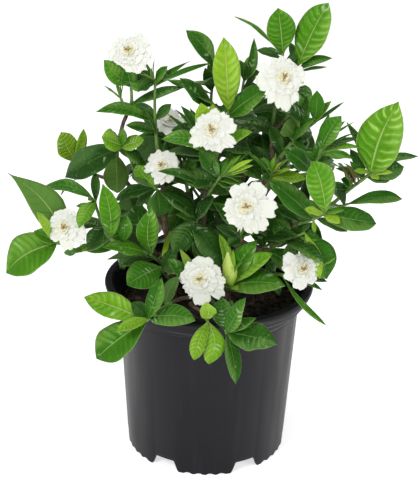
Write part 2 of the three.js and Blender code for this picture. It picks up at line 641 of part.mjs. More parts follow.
// Potting mix: fills the pot from the floor to the soil line, with an uneven top
function makeSoil() {
  const floor = FOOT_HEIGHT + WALL + CLEARANCE;
  const neck = POT_HEIGHT - COLLAR_HEIGHT;
  const bottomRadius = BASE_RADIUS - WALL + 1.4 - CLEARANCE * 2;
  const topRadius = NECK_RADIUS - WALL - CLEARANCE * 2.5;
  const ring = (radius, height, sides = SOIL_SIDES) => Array.from({ length: sides }, (_, k) => {
    const angle = (2 * Math.PI * k) / sides;
    return new THREE.Vector3(radius * Math.cos(angle), radius * Math.sin(angle), height(angle));
  });
  const rings = [ring(bottomRadius, () => floor), ring(topRadius, () => neck - 2)];
  for (let k = 0; k < SOIL_RINGS; k += 1) {
    const radius = (topRadius - 1) * (1 - k / SOIL_RINGS);
    const bump = (angle) => SOIL_BUMP * Math.sin(3 * angle + k * 2.1) * Math.cos(5 * angle - k);
    rings.push(ring(radius, (angle) => SOIL_TOP + bump(angle)));
  }
  rings.push([new THREE.Vector3(0, 0, SOIL_TOP)]);
  return loft(rings);
}

// A stem's path: from its fork or its root through its picture points, as one smooth curve
const paths = new Map();
function pathOf(stem) {
  const points = stem.path.map(([x, y, out]) => sight(x, y, out));
  if (stem.root) {
    const [x, y] = stem.root;
    points.unshift(new THREE.Vector3(x, y, SOIL_TOP - ROOT_DEPTH), new THREE.Vector3(x, y, SOIL_TOP + 2));
  } else {
    points.unshift(paths.get(stem.parent).point(stem.at));
  }
  if (stem.end === 'bloom') {
    points.push(points.pop().addScaledVector(faceOf(stem), -TUBE_LENGTH - CLEARANCE));
  }
  const curve = new THREE.CatmullRomCurve3(points, false, 'catmullrom', 0.5);
  const last = points.length - 1;
  const [thick, thin] = stem.radius;
  return {
    last,
    point: (place) => curve.getPoint(Math.min(place / last, 1)),
    tangent: (place) => {
      const back = curve.getPoint(Math.max(place - 0.02, 0) / last);
      const ahead = curve.getPoint(Math.min(place + 0.02, last) / last);
      return ahead.sub(back).normalize();
    },
    radius: (place) => thick + ((thin - thick) * place) / last,
  };
}

// A tapered tube along part of a stem's path
function tube(path, from, to, sides, end) {
  const steps = Math.max(2, Math.round((to - from) * 1.3));
  const rings = [];
  for (let i = 0; i <= steps; i += 1) {
    const place = from + ((to - from) * i) / steps;
    const along = end && i === steps ? end : path.tangent(place);
    const side = along.clone().cross(SIDE_HINT).normalize();
    const top = side.clone().cross(along);
    const radius = path.radius(place) * (end && i === steps ? END_SWELL : 1);
    rings.push(Array.from({ length: sides }, (_, k) => {
      const angle = (2 * Math.PI * k) / sides;
      return path.point(place)
        .addScaledVector(side, -radius * Math.cos(angle))
        .addScaledVector(top, radius * Math.sin(angle));
    }));
  }
  return loft(rings);
}

// A leaf blade, from inside its stem to its tip: a flat face over a keel, arched along, with its
// edges raised a little and waved. Young leaves are less arched.
function blade(leaf, tip, roll) {
  const { root, width, age, light, outline } = leaf;
  const along = tip.clone().sub(root);
  const length = along.length();
  along.normalize();
  const normal = light.clone().addScaledVector(along, -light.dot(along)).normalize();
  normal.applyAxisAngle(along, THREE.MathUtils.degToRad(roll));
  const side = along.clone().cross(normal);
  const arch = (ARCH - YOUNG_ARCH * age) * length;
  const ring = (place, half, wave, thickness) => {
    const middle = root.clone()
      .addScaledVector(along, length * place)
      .addScaledVector(normal, arch * Math.sin(Math.PI * place));
    return [
      middle.clone().addScaledVector(side, -half).addScaledVector(normal, half * FOLD + wave),
      middle.clone().addScaledVector(side, half).addScaledVector(normal, half * FOLD + wave),
      middle.clone().addScaledVector(normal, -thickness),
    ];
  };
  const rings = [ring(0, ROOT_HALF_WIDTH, 0, BLADE_THICKNESS)];
  outline.forEach(([place, share], k) => {
    const wave = WAVE * width * (k % 2 ? -0.5 : 0.5);
    rings.push(ring(place, (width / 2) * share, wave, BLADE_THICKNESS * (1 - place * 0.35)));
  });
  rings.push([tip.clone()]);
  return loft(rings);
}

// Sepals of a spent flower: slim blades that spread from the end of a stem
function calyx(stem, path) {
  const axis = new THREE.Vector3(...stem.tilt).normalize();
  const side = axis.clone().cross(SIDE_HINT).normalize();
  return Array.from({ length: SEPAL_COUNT }, (_, k) => {
    const outward = side.clone().applyAxisAngle(axis, (2 * Math.PI * k) / SEPAL_COUNT);
    const root = path.point(path.last).addScaledVector(path.tangent(path.last), -1);
    const tip = root.clone()
      .addScaledVector(axis, SEPAL_LENGTH * 0.8)
      .addScaledVector(outward, SEPAL_LENGTH * 0.5);
    return blade({ root, width: SEPAL_WIDTH, age: BRIGHT, light: axis, outline: SEPAL_OUTLINE }, tip, 0);
  });
}

function faceOf(stem) {
  return new THREE.Vector3(...stem.face).normalize();
}

function endOf(stem) {
  if (!stem.end) return undefined;
  return new THREE.Vector3(...(stem.face ?? stem.tilt)).normalize();
}

// A bloom: one closed skin from the foot of its tube, out and back along each petal of each
// layer, up to its heart
function makeBloom(stem) {
  const face = faceOf(stem);
  const centre = sight(...stem.path.at(-1));
  const side = face.clone().cross(UP).normalize();
  const reach = stem.across / 2;
  const points = [];
  const faces = [];
  const point = (height, radius, turn) => {
    const outward = side.clone().applyAxisAngle(face, (2 * Math.PI * turn) / HUB_SIDES);
    return points.push(centre.clone().addScaledVector(face, height).addScaledVector(outward, radius)) - 1;
  };
  const turns = Array.from({ length: HUB_SIDES }, (_, k) => k);
  const hub = (height, radius, turn = 0) => turns.map((k) => point(height, radius, k + turn));
  const quad = (a, b, c, d) => faces.push([a, b, c], [a, c, d]);
  const wall = (lower, upper) => lower.forEach((_, k) => {
    const next = (k + 1) % HUB_SIDES;
    quad(lower[k], lower[next], upper[next], upper[k]);
  });
  let below = hub(...TUBE_RINGS[0]);
  for (let k = 1; k < HUB_SIDES - 1; k += 1) faces.push([below[0], below[k + 1], below[k]]);
  TUBE_RINGS.slice(1).forEach((ring) => {
    const above = hub(...ring);
    wall(below, above);
    below = above;
  });
  PETAL_LAYERS.forEach((layer) => {
    const lower = hub(layer.hubHeight, layer.hubRadius, layer.turn);
    const upper = hub(layer.hubHeight + PETAL_THICKNESS, layer.hubRadius, layer.turn);
    wall(below, lower);
    for (let k = 0; k < HUB_SIDES; k += 1) {
      const next = (k + 1) % HUB_SIDES;
      const corners = k % layer.every ? [] : PETAL_CORNERS;
      const outline = (start, end, thickness) => [start, ...corners.map(([share, turn, lift]) => point(
        layer.hubHeight + (layer.rise * share + lift) * reach + thickness,
        layer.reach * share * reach,
        k + layer.turn + turn,
      )), end];
      const under = outline(lower[k], lower[next], 0);
      const over = outline(upper[k], upper[next], PETAL_THICKNESS);
      for (let i = 0; i < under.length - 1; i += 1) quad(under[i], under[i + 1], over[i + 1], over[i]);
      if (corners.length) {
        PETAL_TRIANGLES.forEach(([a, b, c]) => {
          faces.push([over[a], over[b], over[c]], [under[a], under[c], under[b]]);
        });
      }
    }
    below = upper;
  });
  const heart = point(HEART_HEIGHT, 0, 0);
  below.forEach((_, k) => faces.push([below[k], below[(k + 1) % HUB_SIDES], heart]));
  return new wasm.Manifold(new wasm.Mesh({
    numProp: 3,
    vertProperties: new Float32Array(points.flatMap((corner) => corner.toArray())),
    triVerts: new Uint32Array(faces.flat()),
  }));
}

// Bud: fat and furled, tapering to a point
function makeBud(stem, path) {
  const axis = new THREE.Vector3(...stem.tilt).normalize();
  const side = axis.clone().cross(SIDE_HINT).normalize();
  const start = path.point(path.last).addScaledVector(axis, CLEARANCE);
  const rings = BUD_OUTLINE.map(([height, radius]) => Array.from({ length: WOOD_SIDES }, (_, k) => {
    const turn = (2 * Math.PI * k) / WOOD_SIDES - height * 0.03;
    return start.clone()
      .addScaledVector(axis, height)
      .addScaledVector(side.clone().applyAxisAngle(axis, turn), radius * (k % 2 ? 0.9 : 1.05));
  }));
  rings.push([start.clone().addScaledVector(axis, BUD_TIP)]);
  return loft(rings);
}

// The leaves of the table. The root of each stands off the middle of the stem, to its own side,
// and below the leaf listed before it at the same place.
function listedLeaves(stem, path) {
  const used = new Map();
  return stem.leaves.map(([place, x, y, out, width, roll, age]) => {
    const rank = used.get(place) ?? 0;
    used.set(place, rank + 1);
    const segment = path.point(place - 0.5).distanceTo(path.point(place)) * 2;
    const tip = sight(x, y, out);
    const root = offAxis(path, place - (rank * LEAF_STEP) / segment, tip);
    return {
      stem,
      root,
      tip,
      width: width * FACET_WIDTH,
      roll,
      age,
      light: FORWARD_LIGHT,
      outline: outlineFor(width),
      byRule: false,
    };
  });
}

function outlineFor(width) {
  if (width > BIG_LEAF_WIDTH) return BIG_LEAF_OUTLINE;
  return width > SMALL_LEAF_WIDTH ? LEAF_OUTLINE : SMALL_LEAF_OUTLINE;
}

function offAxis(path, place, tip) {
  const root = path.point(place);
  const along = path.tangent(place);
  const outward = tip.clone().sub(root);
  outward.addScaledVector(along, -outward.dot(along)).normalize();
  return root.addScaledVector(outward, path.radius(place) * 0.4);
}

// Opposite pairs of leaves, each pair a quarter turn from the one below, with seeded spread
function seeded(seed) {
  let state = seed;
  return () => {
    state = (state * 1664525 + 1013904223) % 4294967296;
    return state / 4294967296;
  };
}

function pairedLeaves(stem, path, draw) {
  const leaves = [];
  const pairs = stem.pairs ?? 0;
  for (let k = 0; k < pairs; k += 1) {
    const place = stem.wood + 0.2 + ((path.last - stem.wood - 0.3) * (k + 0.5)) / pairs;
    const along = path.tangent(place);
    const across = along.clone().cross(SIDE_HINT).normalize();
    for (let half = 0; half < 2; half += 1) {
      const turn = Math.PI * half + (Math.PI / 2) * k + (draw() - 0.5) * 0.7;
      const length = (stem.size ?? PAIR_LENGTH) * (0.85 + 0.3 * draw());
      const outward = across.clone().applyAxisAngle(along, turn);
      const tip = path.point(place)
        .addScaledVector(outward, length * 0.9)
        .addScaledVector(along, length * (0.3 + 0.25 * draw()))
        .addScaledVector(UP, -length * 0.15);
      const root = offAxis(path, place, tip);
      const skyward = new THREE.Vector3(root.x, root.y, 0).multiplyScalar(0.004).add(UP);
      leaves.push({
        stem,
        root,
        tip,
        width: length * PAIR_WIDTH,
        roll: 0,
        age: DARK + 0.4 * draw(),
        light: stem.fills ? FORWARD_LIGHT : skyward,
        outline: SMALL_LEAF_OUTLINE,
        byRule: true,
      });
    }
  }
  return leaves;
}

// What the picture shows in front: listed leaves and blooms, as picture lines with a half width
const shown = [];
function show(from, to, halfWidth) {
  const [a, b] = [pictureOf(from), pictureOf(to)];
  shown.push({ a, b, half: (halfWidth * FOCAL_PIXELS) / CAMERA_DISTANCE });
}

// A leaf that grows by rule stays in the outline of the foliage, and behind what is shown
function behindShown(leaf, tip) {
  return RULE_SAMPLES.every(([place, share]) => {
    const point = leaf.root.clone().lerp(tip, place);
    const [x, y, depth] = pictureOf(point);
    const half = (share * leaf.width * FOCAL_PIXELS) / (2 * CAMERA_DISTANCE);
    if (place > 0.4 && !insideFoliage(x, y)) return false;
    return shown.every(({ a, b, half: reach }) => {
      const [dx, dy] = [b[0] - a[0], b[1] - a[1]];
      const t = Math.min(1, Math.max(0, ((x - a[0]) * dx + (y - a[1]) * dy) / (dx * dx + dy * dy + 0.01)));
      const apart = Math.hypot(x - a[0] - t * dx, y - a[1] - t * dy);
      return apart > half + reach * 0.8 || depth > a[2] + t * (b[2] - a[2]);
    });
  });
}

// The cells of the foliage in the picture that a solid covers
const filled = new Set();
function cellsOf(solid) {
  const { vertProperties, triVerts } = solid.getMesh();
  const cells = new Set();
  for (let i = 0; i < triVerts.length; i += 3) {
    const cornerAt = (k) => new THREE.Vector3().fromArray(vertProperties, triVerts[i + k] * 3);
    const [a, b, c] = [cornerAt(0), cornerAt(1), cornerAt(2)].map(pictureOf);
    for (let u = 0.1; u < 1; u += 0.16) {
      for (let v = 0.1; u + v < 1; v += 0.16) {
        const x = a[0] * u + b[0] * v + c[0] * (1 - u - v);
        const y = a[1] * u + b[1] * v + c[1] * (1 - u - v);
        if (insideFoliage(x, y)) cells.add(Math.round(x / CELL) * 1000 + Math.round(y / CELL));
      }
    }
  }
  return [...cells];
}

function boxesMeet(a, b, gap) {
  return [0, 1, 2].every((i) => a.min[i] - gap < b.max[i] && b.min[i] - gap < a.max[i]);
}

function clearOf(solid, box, others) {
  return others.every((other) => !boxesMeet(box, other.box, LEAF_GAP)
    || solid.minGap(other.solid, LEAF_GAP * 2) > LEAF_GAP);
}

// The plant: paths first, then what stands still, then each leaf in turn, bent clear of it all
const shootNode = (stem) => (stem.wood === 0 ? shootNode(byName.get(stem.parent)) : `shoot_${stem.name}`);
const woodNode = (stem) => (stem.root ? `stem_${stem.name}` : woodNode(byName.get(stem.parent)));
const byName = new Map(STEMS.map((stem) => [stem.name, stem]));
const nodes = new Map();
const placed = [];

function add(node, solid, color, roughness) {
  if (!nodes.has(node)) nodes.set(node, { solids: [], color, roughness });
  nodes.get(node).solids.push(solid);
  placed.push({ node, solid, box: solid.boundingBox() });
}

const pot = makePot();
add('pot', pot, BLACK_PLASTIC, 0.6);
STEMS.forEach((stem) => {
  const path = pathOf(stem);
  paths.set(stem.name, path);
  const sides = stem.root ? WOOD_SIDES : SHOOT_SIDES;
  if (stem.wood > 0) add(woodNode(stem), tube(path, 0, stem.wood, sides), BARK, 0.9);
  const step = CLEARANCE / path.point(stem.wood).distanceTo(path.point(stem.wood + 1));
  const start = stem.wood > 0 ? stem.wood + step : 0;
  add(shootNode(stem), tube(path, start, path.last, SHOOT_SIDES, endOf(stem)), GREEN, 0.5);
});
STEMS.forEach((stem) => {
  const path = paths.get(stem.name);
  if (stem.end === 'calyx') calyx(stem, path).forEach((sepal) => add(shootNode(stem), sepal, GREEN, 0.5));
  if (stem.end === 'bloom') add(`bloom_${stem.name}`, makeBloom(stem), PETAL, 0.6);
  if (stem.end === 'bud') add('bud', makeBud(stem, path), BUD_GREEN, 0.5);
});

let soil = makeSoil();
STEMS.filter((stem) => stem.root).forEach((stem) => {
  const [x, y] = stem.root;
  const bottom = SOIL_TOP - ROOT_DEPTH - CLEARANCE;
  const radius = stem.radius[0] * HOLE_SHARE;
  const hole = new THREE.CylinderGeometry(radius, radius, ROOT_DEPTH * 1.5, HOLE_SIDES)
    .rotateX(Math.PI / 2)
    .translate(x, y, bottom + ROOT_DEPTH * 0.75);
  soil = soil.subtract(solidOf(hole));
});
add('potting_mix', soil, PEAT, 1);

const draw = seeded(PAIR_SEED);
const listed = STEMS.flatMap((stem) => listedLeaves(stem, paths.get(stem.name)));
const grown = STEMS.flatMap((stem) => pairedLeaves(stem, paths.get(stem.name), draw));
listed.filter((leaf) => leaf.age > DARK).forEach((leaf) => show(leaf.root, leaf.tip, leaf.width / 2));
STEMS.filter((stem) => stem.end === 'bloom').forEach((stem) => {
  const centre = sight(...stem.path.at(-1));
  show(centre, centre, stem.across / 2);
});
function place(leaf, leastGain) {
  const node = shootNode(leaf.stem);
  const foreign = placed.filter((piece) => piece.node !== node);
  const own = placed.filter((piece) => piece.node === node);
  return BENDS.some(([shift, roll]) => {
    const tip = leaf.tip.clone().addScaledVector(eye.clone().sub(leaf.tip).normalize(), shift);
    if (leaf.byRule && !behindShown(leaf, tip)) return false;
    const solid = blade(leaf, tip, leaf.roll + roll);
    const cells = cellsOf(solid);
    if (cells.filter((cell) => !filled.has(cell)).length < leastGain) return false;
    const box = solid.boundingBox();
    const crossed = own.filter((piece) => boxesMeet(box, piece.box, 0))
      .reduce((sum, piece) => sum + solid.intersect(piece.solid).volume(), 0);
    if (crossed > OWN_OVERLAP || !clearOf(solid, box, foreign)) return false;
    add(node, solid, GREEN, 0.5);
    cells.forEach((cell) => filled.add(cell));
    return true;
  });
}
listed.forEach((leaf) => place(leaf, 0));
const fills = (leaf) => leaf.stem.fills;
grown.filter((leaf) => !fills(leaf)).forEach((leaf) => place(leaf, 0));
let waiting = grown.filter(fills);
LEAST_GAINS.forEach((gain) => {
  waiting = waiting.filter((leaf) => !place(leaf, gain));
});

const gardenia = new THREE.Group();
nodes.forEach(({ solids, color, roughness }, name) => {
  gardenia.add(meshOf(name, wasm.Manifold.union(solids), color, roughness));
});

export default gardenia;
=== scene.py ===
import math
import random

import bmesh
import bpy
from mathutils import Matrix, Quaternion, Vector, noise
from mathutils.kdtree import KDTree


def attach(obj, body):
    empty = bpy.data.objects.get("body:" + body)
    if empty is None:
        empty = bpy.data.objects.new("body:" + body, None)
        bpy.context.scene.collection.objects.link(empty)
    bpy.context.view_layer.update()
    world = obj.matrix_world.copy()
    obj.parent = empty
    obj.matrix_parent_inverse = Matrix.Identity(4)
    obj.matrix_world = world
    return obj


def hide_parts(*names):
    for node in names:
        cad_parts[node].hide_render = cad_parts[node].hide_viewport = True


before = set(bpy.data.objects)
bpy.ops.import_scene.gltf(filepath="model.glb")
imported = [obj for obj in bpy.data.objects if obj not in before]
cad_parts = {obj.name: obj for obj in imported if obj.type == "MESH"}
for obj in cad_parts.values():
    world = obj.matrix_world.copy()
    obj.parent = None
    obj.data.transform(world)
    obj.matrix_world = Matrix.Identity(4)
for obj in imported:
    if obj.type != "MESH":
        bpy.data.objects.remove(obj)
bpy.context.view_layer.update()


# Nursery pot
# A black polypropylene growing pot, injection moulded in one piece: a tapered wall, a flared
# collar with a rolled lip, and a skirt under the floor that is notched into six feet.

MM = 0.001
POT_HEIGHT = 215 * MM
RIM_RADIUS = 125 * MM
LIP_INNER_RADIUS = 115 * MM
COLLAR_HEIGHT = 32.5 * MM
NECK_HEIGHT = POT_HEIGHT - COLLAR_HEIGHT
NECK_RADIUS = 108 * MM
BASE_RADIUS = 96.8 * MM
WALL = 2.4 * MM
FOOT_HEIGHT = 19 * MM
POT_STEPS = 288
SHARP_ANGLE = math.radians(38)
NOTCH_COUNT = 6
NOTCH_TOP_WIDTH = 25 * MM
NOTCH_FOOT_WIDTH = 36 * MM
NOTCH_HEIGHT = 14 * MM
NICKS_PER_FOOT = 4
NICK_TURN = math.radians(8)
NICK_HALF_WIDTH = 5 * MM
NICK_HEIGHT = 2 * MM
FRONT_FOOT = math.radians(-90)
FULL_TURN = 2 * math.pi
JOIN_DISTANCE = 1e-6


class Signal:
    """The output of a node in a skin, which sums can be made with."""

    def __init__(self, skin, socket):
        self.skin = skin
        self.socket = socket

    def reckon(self, operation, other=0.0):
        return self.skin.add("Math", "Value", {0: self, 1: other}, operation=operation)

    def __add__(self, other):
        return self.reckon("ADD", other)

    def __sub__(self, other):
        return self.reckon("SUBTRACT", other)

    def __rsub__(self, other):
        return self.skin.add("Math", "Value", {0: other, 1: self}, operation="SUBTRACT")

    def __mul__(self, other):
        return self.reckon("MULTIPLY", other)

    def __truediv__(self, other):
        return self.reckon("DIVIDE", other)

    def __pow__(self, other):
        return self.reckon("POWER", other)

    def curve(self, low, high, to_low=0.0, to_high=1.0):
        """A smooth step from one range to another."""
        inputs = {"Value": self, "From Min": low, "From Max": high, "To Min": to_low, "To Max": to_high}
        return self.skin.add("MapRange", "Result", inputs, interpolation_type="SMOOTHSTEP")

    def part(self, name):
        """The red, green or blue of a colour."""
        return self.skin.add("SeparateColor", name, {"Color": self})


class Skin:
    """A procedural material in the making. Colours are 3 numbers or a signal."""

    def __init__(self, name):
        self.material = bpy.data.materials.new(name)
        self.material.use_nodes = True
        self.tree = self.material.node_tree
        self.place = self.add("TexCoord", "Object")

    def feed(self, socket, value):
        if isinstance(value, Signal):
            self.tree.links.new(value.socket, socket)
        else:
            socket.default_value = (*value, 1) if socket.type == "RGBA" else value

    def add(self, kind, output, inputs=None, **settings):
        node = self.tree.nodes.new("ShaderNode" + kind)
        for key, value in settings.items():
            setattr(node, key, value)
        for key, value in (inputs or {}).items():
            self.feed(node.inputs[key], value)
        return Signal(self, node.outputs[output])

    def noise(self, scale, detail, stretch=None, place=None):
        place = place or self.place
        if stretch:
            place = self.add("Mapping", "Vector", {"Vector": place, "Scale": stretch})
        return self.add("TexNoise", "Fac", {"Vector": place, "Scale": scale, "Detail": detail})

    def cells(self, scale, output, **settings):
        return self.add("TexVoronoi", output, {"Vector": self.place, "Scale": scale}, **settings)

    def ramp(self, factor, *stops):
        """A colour ramp of (place, colour) stops."""
        node = self.tree.nodes.new("ShaderNodeValToRGB")
        self.feed(node.inputs["Fac"], factor)
        elements = node.color_ramp.elements
        while len(elements) < len(stops):
            elements.new(0.5)
        for element, (place, colour) in zip(elements, stops):
            element.position = place
            element.color = (*colour, 1)
        return Signal(self, node.outputs["Color"])

    def blend(self, factor, first, second, blend_type="MIX"):
        inputs = {0: factor, 6: first, 7: second}
        return self.add("Mix", 2, inputs, data_type="RGBA", blend_type=blend_type)

    def finish(self, colour, rough, bump=None, more=None):
        """Wires the shader. A bump is (relief, strength, depth)."""
        inputs = {"Base Color": colour, "Roughness": rough} | (more or {})
        if bump:
            relief = dict(zip(("Height", "Strength", "Distance"), bump))
            inputs["Normal"] = self.add("Bump", "Normal", relief)
        for key, value in inputs.items():
            self.feed(self.tree.nodes["Principled BSDF"].inputs[key], value)
        return self.material


def moulded_black_plastic():
    skin = Skin("moulded_black_plastic")
    scuffs = skin.noise(1, 4, (60, 60, 5))
    streaks = skin.noise(1, 3, (9, 9, 150))
    height = skin.add("SeparateXYZ", "Z", {"Vector": skin.place})
    collar = height.curve(NECK_HEIGHT - 2 * MM, NECK_HEIGHT + 3 * MM)
    colour = skin.blend(skin.noise(14, 3), (0.005, 0.005, 0.008), (0.009, 0.009, 0.012))
    colour = skin.blend(scuffs.curve(0.5, 0.75) * 0.2, colour, (0.04, 0.039, 0.038))
    # Pale streaks on the collar: partly scratches, partly painted highlight streaks. The collar is also
    # glossier along them.
    scratch_and_sheen_streaks = skin.blend(streaks.curve(0.56, 0.7, 0, 0.7), (0.007, 0.007, 0.009), (0.06, 0.06, 0.065))
    roughness = {0: collar, 2: scuffs.curve(0.3, 0.8, 0.34, 0.52), 3: streaks.curve(0.5, 0.62, 0.6, 0.2)}
    return skin.finish(
        skin.blend(collar, colour, scratch_and_sheen_streaks), skin.add("Mix", 0, roughness),
        (skin.noise(900, 2), 0.12, 0.4 * MM), {"Specular IOR Level": 0.18},
    )


def turned(outline, steps):
    """An outline of (radius, height) points, spun round the pot's axis."""
    bm = bmesh.new()
    corners = [bm.verts.new((radius, 0, height)) for radius, height in outline]
    edges = [bm.edges.new(pair) for pair in zip(corners, corners[1:])]
    bmesh.ops.spin(
        bm, geom=corners + edges, cent=(0, 0, 0), axis=(0, 0, 1),
        angle=FULL_TURN, steps=steps, use_merge=True,
    )
    bmesh.ops.remove_doubles(bm, verts=bm.verts, dist=JOIN_DISTANCE)
    bmesh.ops.recalc_face_normals(bm, faces=bm.faces)
    return bm


def place_piece(name, bm, materials, node, smooth=True):
    """Makes a finished bmesh a piece of the plant, in the place of its CAD node."""
    for face in bm.faces:
        face.smooth = smooth
    mesh = bpy.data.meshes.new(name)
    bm.to_mesh(mesh)
    bm.free()
    for material in materials:
        mesh.materials.append(material)
    piece = bpy.data.objects.new(name, mesh)
    bpy.context.scene.collection.objects.link(piece)
    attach(piece, "root")
    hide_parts(node)


def foot_edge(angle):
    """Height of the skirt's lower edge: notches between the feet, nicks along each foot."""
    foot_turn = FULL_TURN / NOTCH_COUNT
    turn = (angle - FRONT_FOOT + foot_turn / 2) % foot_turn - foot_turn / 2
    from_notch = (foot_turn / 2 - abs(turn)) * BASE_RADIUS
    slope = (NOTCH_FOOT_WIDTH - NOTCH_TOP_WIDTH) / 2
    edge = NOTCH_HEIGHT * min(1, max(0, (NOTCH_FOOT_WIDTH / 2 - from_notch) / slope))
    for k in range(NICKS_PER_FOOT):
        arc = (turn - (k - (NICKS_PER_FOOT - 1) / 2) * NICK_TURN) * BASE_RADIUS
        edge = max(edge, NICK_HEIGHT * (1 - (arc / NICK_HALF_WIDTH) ** 2))
    return edge


def build_pot():
    inner_base = BASE_RADIUS - WALL
    flare = [(0, 0), (1.2, 3), (4.4, 7), (8, 11.5), (12, 17)]
    bm = turned([
        (0, FOOT_HEIGHT), (inner_base + 1 * MM, FOOT_HEIGHT), (inner_base, 0), (BASE_RADIUS, 0),
        (BASE_RADIUS + 1.2 * MM, FOOT_HEIGHT),
        *((NECK_RADIUS + out * MM, NECK_HEIGHT + up * MM) for out, up in flare),
        (RIM_RADIUS - 2 * MM, NECK_HEIGHT + 23 * MM), (RIM_RADIUS - 0.4 * MM, NECK_HEIGHT + 27 * MM),
        (RIM_RADIUS, POT_HEIGHT - 3 * MM), (RIM_RADIUS - 0.9 * MM, POT_HEIGHT - 1 * MM),
        (RIM_RADIUS - 3 * MM, POT_HEIGHT), (LIP_INNER_RADIUS + 1.6 * MM, POT_HEIGHT - 0.5 * MM),
        (LIP_INNER_RADIUS, POT_HEIGHT - 2.4 * MM), (LIP_INNER_RADIUS - 1 * MM, POT_HEIGHT - 6 * MM),
        (NECK_RADIUS - WALL, NECK_HEIGHT), (inner_base + 1.4 * MM, FOOT_HEIGHT + WALL),
        (0, FOOT_HEIGHT + WALL),
    ], POT_STEPS)
    for corner in bm.verts:
        if corner.co.z < JOIN_DISTANCE:
            corner.co.z = foot_edge(math.atan2(corner.co.y, corner.co.x))
    for edge in bm.edges:
        if len(edge.link_faces) == 2 and edge.calc_face_angle() > SHARP_ANGLE:
            edge.smooth = False
    return bm


place_piece("nursery_pot", build_pot(), [moulded_black_plastic()], "pot")


# Potting mix
# Dark bark and peat, filled to about 30 mm below the rim and left uneven. Coarse chips of bark
# lie loose on it.

SOIL_TOP = 185 * MM
SOIL_RADIUS = NECK_RADIUS - WALL - 0.5 * MM
SOIL_FLOOR_RADIUS = BASE_RADIUS - WALL + 1 * MM
SOIL_STEPS = 96
SOIL_RINGS = 26
SOIL_RELIEF = 2.4 * MM
CHIP_COUNT = 620
CHIP_REACH = SOIL_RADIUS * 0.96
CHIP_SIZE = (3.5 * MM, 11 * MM)
CHIP_LIFT = 2.5 * MM
CHIP_ROUGHNESS = 0.09


def bark_and_peat():
    skin = Skin("bark_and_peat")
    fine = skin.noise(420, 5)
    colour = skin.ramp(
        skin.cells(130, "Color").part("Red") * fine,
        (0.05, (0.008, 0.006, 0.005)), (0.35, (0.035, 0.022, 0.014)), (0.7, (0.12, 0.075, 0.045)),
    )
    return skin.finish(colour, 0.92, (fine, 0.8, 2 * MM))


def build_potting_mix():
    draw = random.Random(11)
    floor = FOOT_HEIGHT + WALL + 0.3 * MM
    outline = [(0, floor), (SOIL_FLOOR_RADIUS, floor), (SOIL_RADIUS, SOIL_TOP - 4 * MM)]
    outline += [(SOIL_RADIUS * (1 - k / SOIL_RINGS), SOIL_TOP) for k in range(SOIL_RINGS + 1)]
    bm = turned(outline, SOIL_STEPS)
    for corner in bm.verts:
        if corner.co.z > SOIL_TOP - 1 * MM:
            corner.co.z += SOIL_RELIEF * noise.fractal(corner.co * 60, 0.9, 2.1, 4)
    for _ in range(CHIP_COUNT):
        radius = CHIP_REACH * math.sqrt(draw.random())
        turn = draw.uniform(0, FULL_TURN)
        long = draw.uniform(*CHIP_SIZE)
        size = Matrix.Diagonal((long, long * draw.uniform(0.35, 0.7), long * draw.uniform(0.15, 0.4), 1))
        lean = Quaternion((draw.gauss(0, 1), draw.gauss(0, 1), 0), draw.gauss(0, 0.35)).to_matrix().to_4x4()
        height = SOIL_TOP + draw.uniform(0, CHIP_LIFT)
        spot = Vector((radius * math.cos(turn), radius * math.sin(turn), height))
        chip = Matrix.Translation(spot) @ Matrix.Rotation(draw.uniform(0, 6.3), 4, "Z") @ lean @ size
        for corner in bmesh.ops.create_cube(bm, size=1.0, matrix=chip)["verts"]:
            shift = Vector([draw.gauss(0, 1) for _ in range(3)])
            corner.co += shift * long * CHIP_ROUGHNESS
    return bm


mix = build_potting_mix()
place_piece("bark_mix", mix, [bark_and_peat()], "potting_mix", smooth=False)


# Woody stems
# Five brown stems stand in the potting mix and fork into woody branches, whose ends are the green
# shoots of the next section. Each grew freely, so each is set down as the picture shows it.

PICTURE_WIDTH = 419
PICTURE_HEIGHT = 480
FOCAL_PIXELS = 1266
EYE_DISTANCE = 1500 * MM
EYE_ELEVATION = math.radians(22.7)
EYE_ROLL = math.radians(1.4)
EYE_TARGET = Vector((-0.8, 0, 264)) * MM

UP = Vector((0, 0, 1))
SIDE_HINT = Vector((0.3, 0.93, 0.1))
EYE_FORWARD = Vector((0, math.cos(EYE_ELEVATION), -math.sin(EYE_ELEVATION)))
EYE_LEVEL_UP = Vector((0, math.sin(EYE_ELEVATION), math.cos(EYE_ELEVATION)))
EYE_RIGHT = Vector((math.cos(EYE_ROLL), 0, 0)) + EYE_LEVEL_UP * math.sin(EYE_ROLL)
EYE_UP = Vector((-math.sin(EYE_ROLL), 0, 0)) + EYE_LEVEL_UP * math.cos(EYE_ROLL)
EYE = EYE_TARGET - EYE_FORWARD * EYE_DISTANCE

ROOT_DEPTH = 32 * MM
TUBE_LENGTH = 13 * MM
STEM_GAP = 0.3 * MM
ROOT_FLARE_HEIGHT = 12 * MM
BARK_RELIEF = 0.35 * MM
TANGENT_STEP = 0.02
WOOD_SIDES = 11
WOOD_RINGS_PER_PLACE = 7
OLD_JOINTS_PER_PLACE = 1.6
PAIR_LENGTH = 62


def sight(x, y, out):
    """The point that the picture shows at x, y, some mm out from the axis towards its eye."""
    right = (x - PICTURE_WIDTH / 2) / FOCAL_PIXELS
    up = (PICTURE_HEIGHT / 2 - y) / FOCAL_PIXELS
    ray = EYE_FORWARD + EYE_RIGHT * right + EYE_UP * up
    return EYE + ray * ((-out * MM - EYE.y) / ray.y)


STEMS = {}


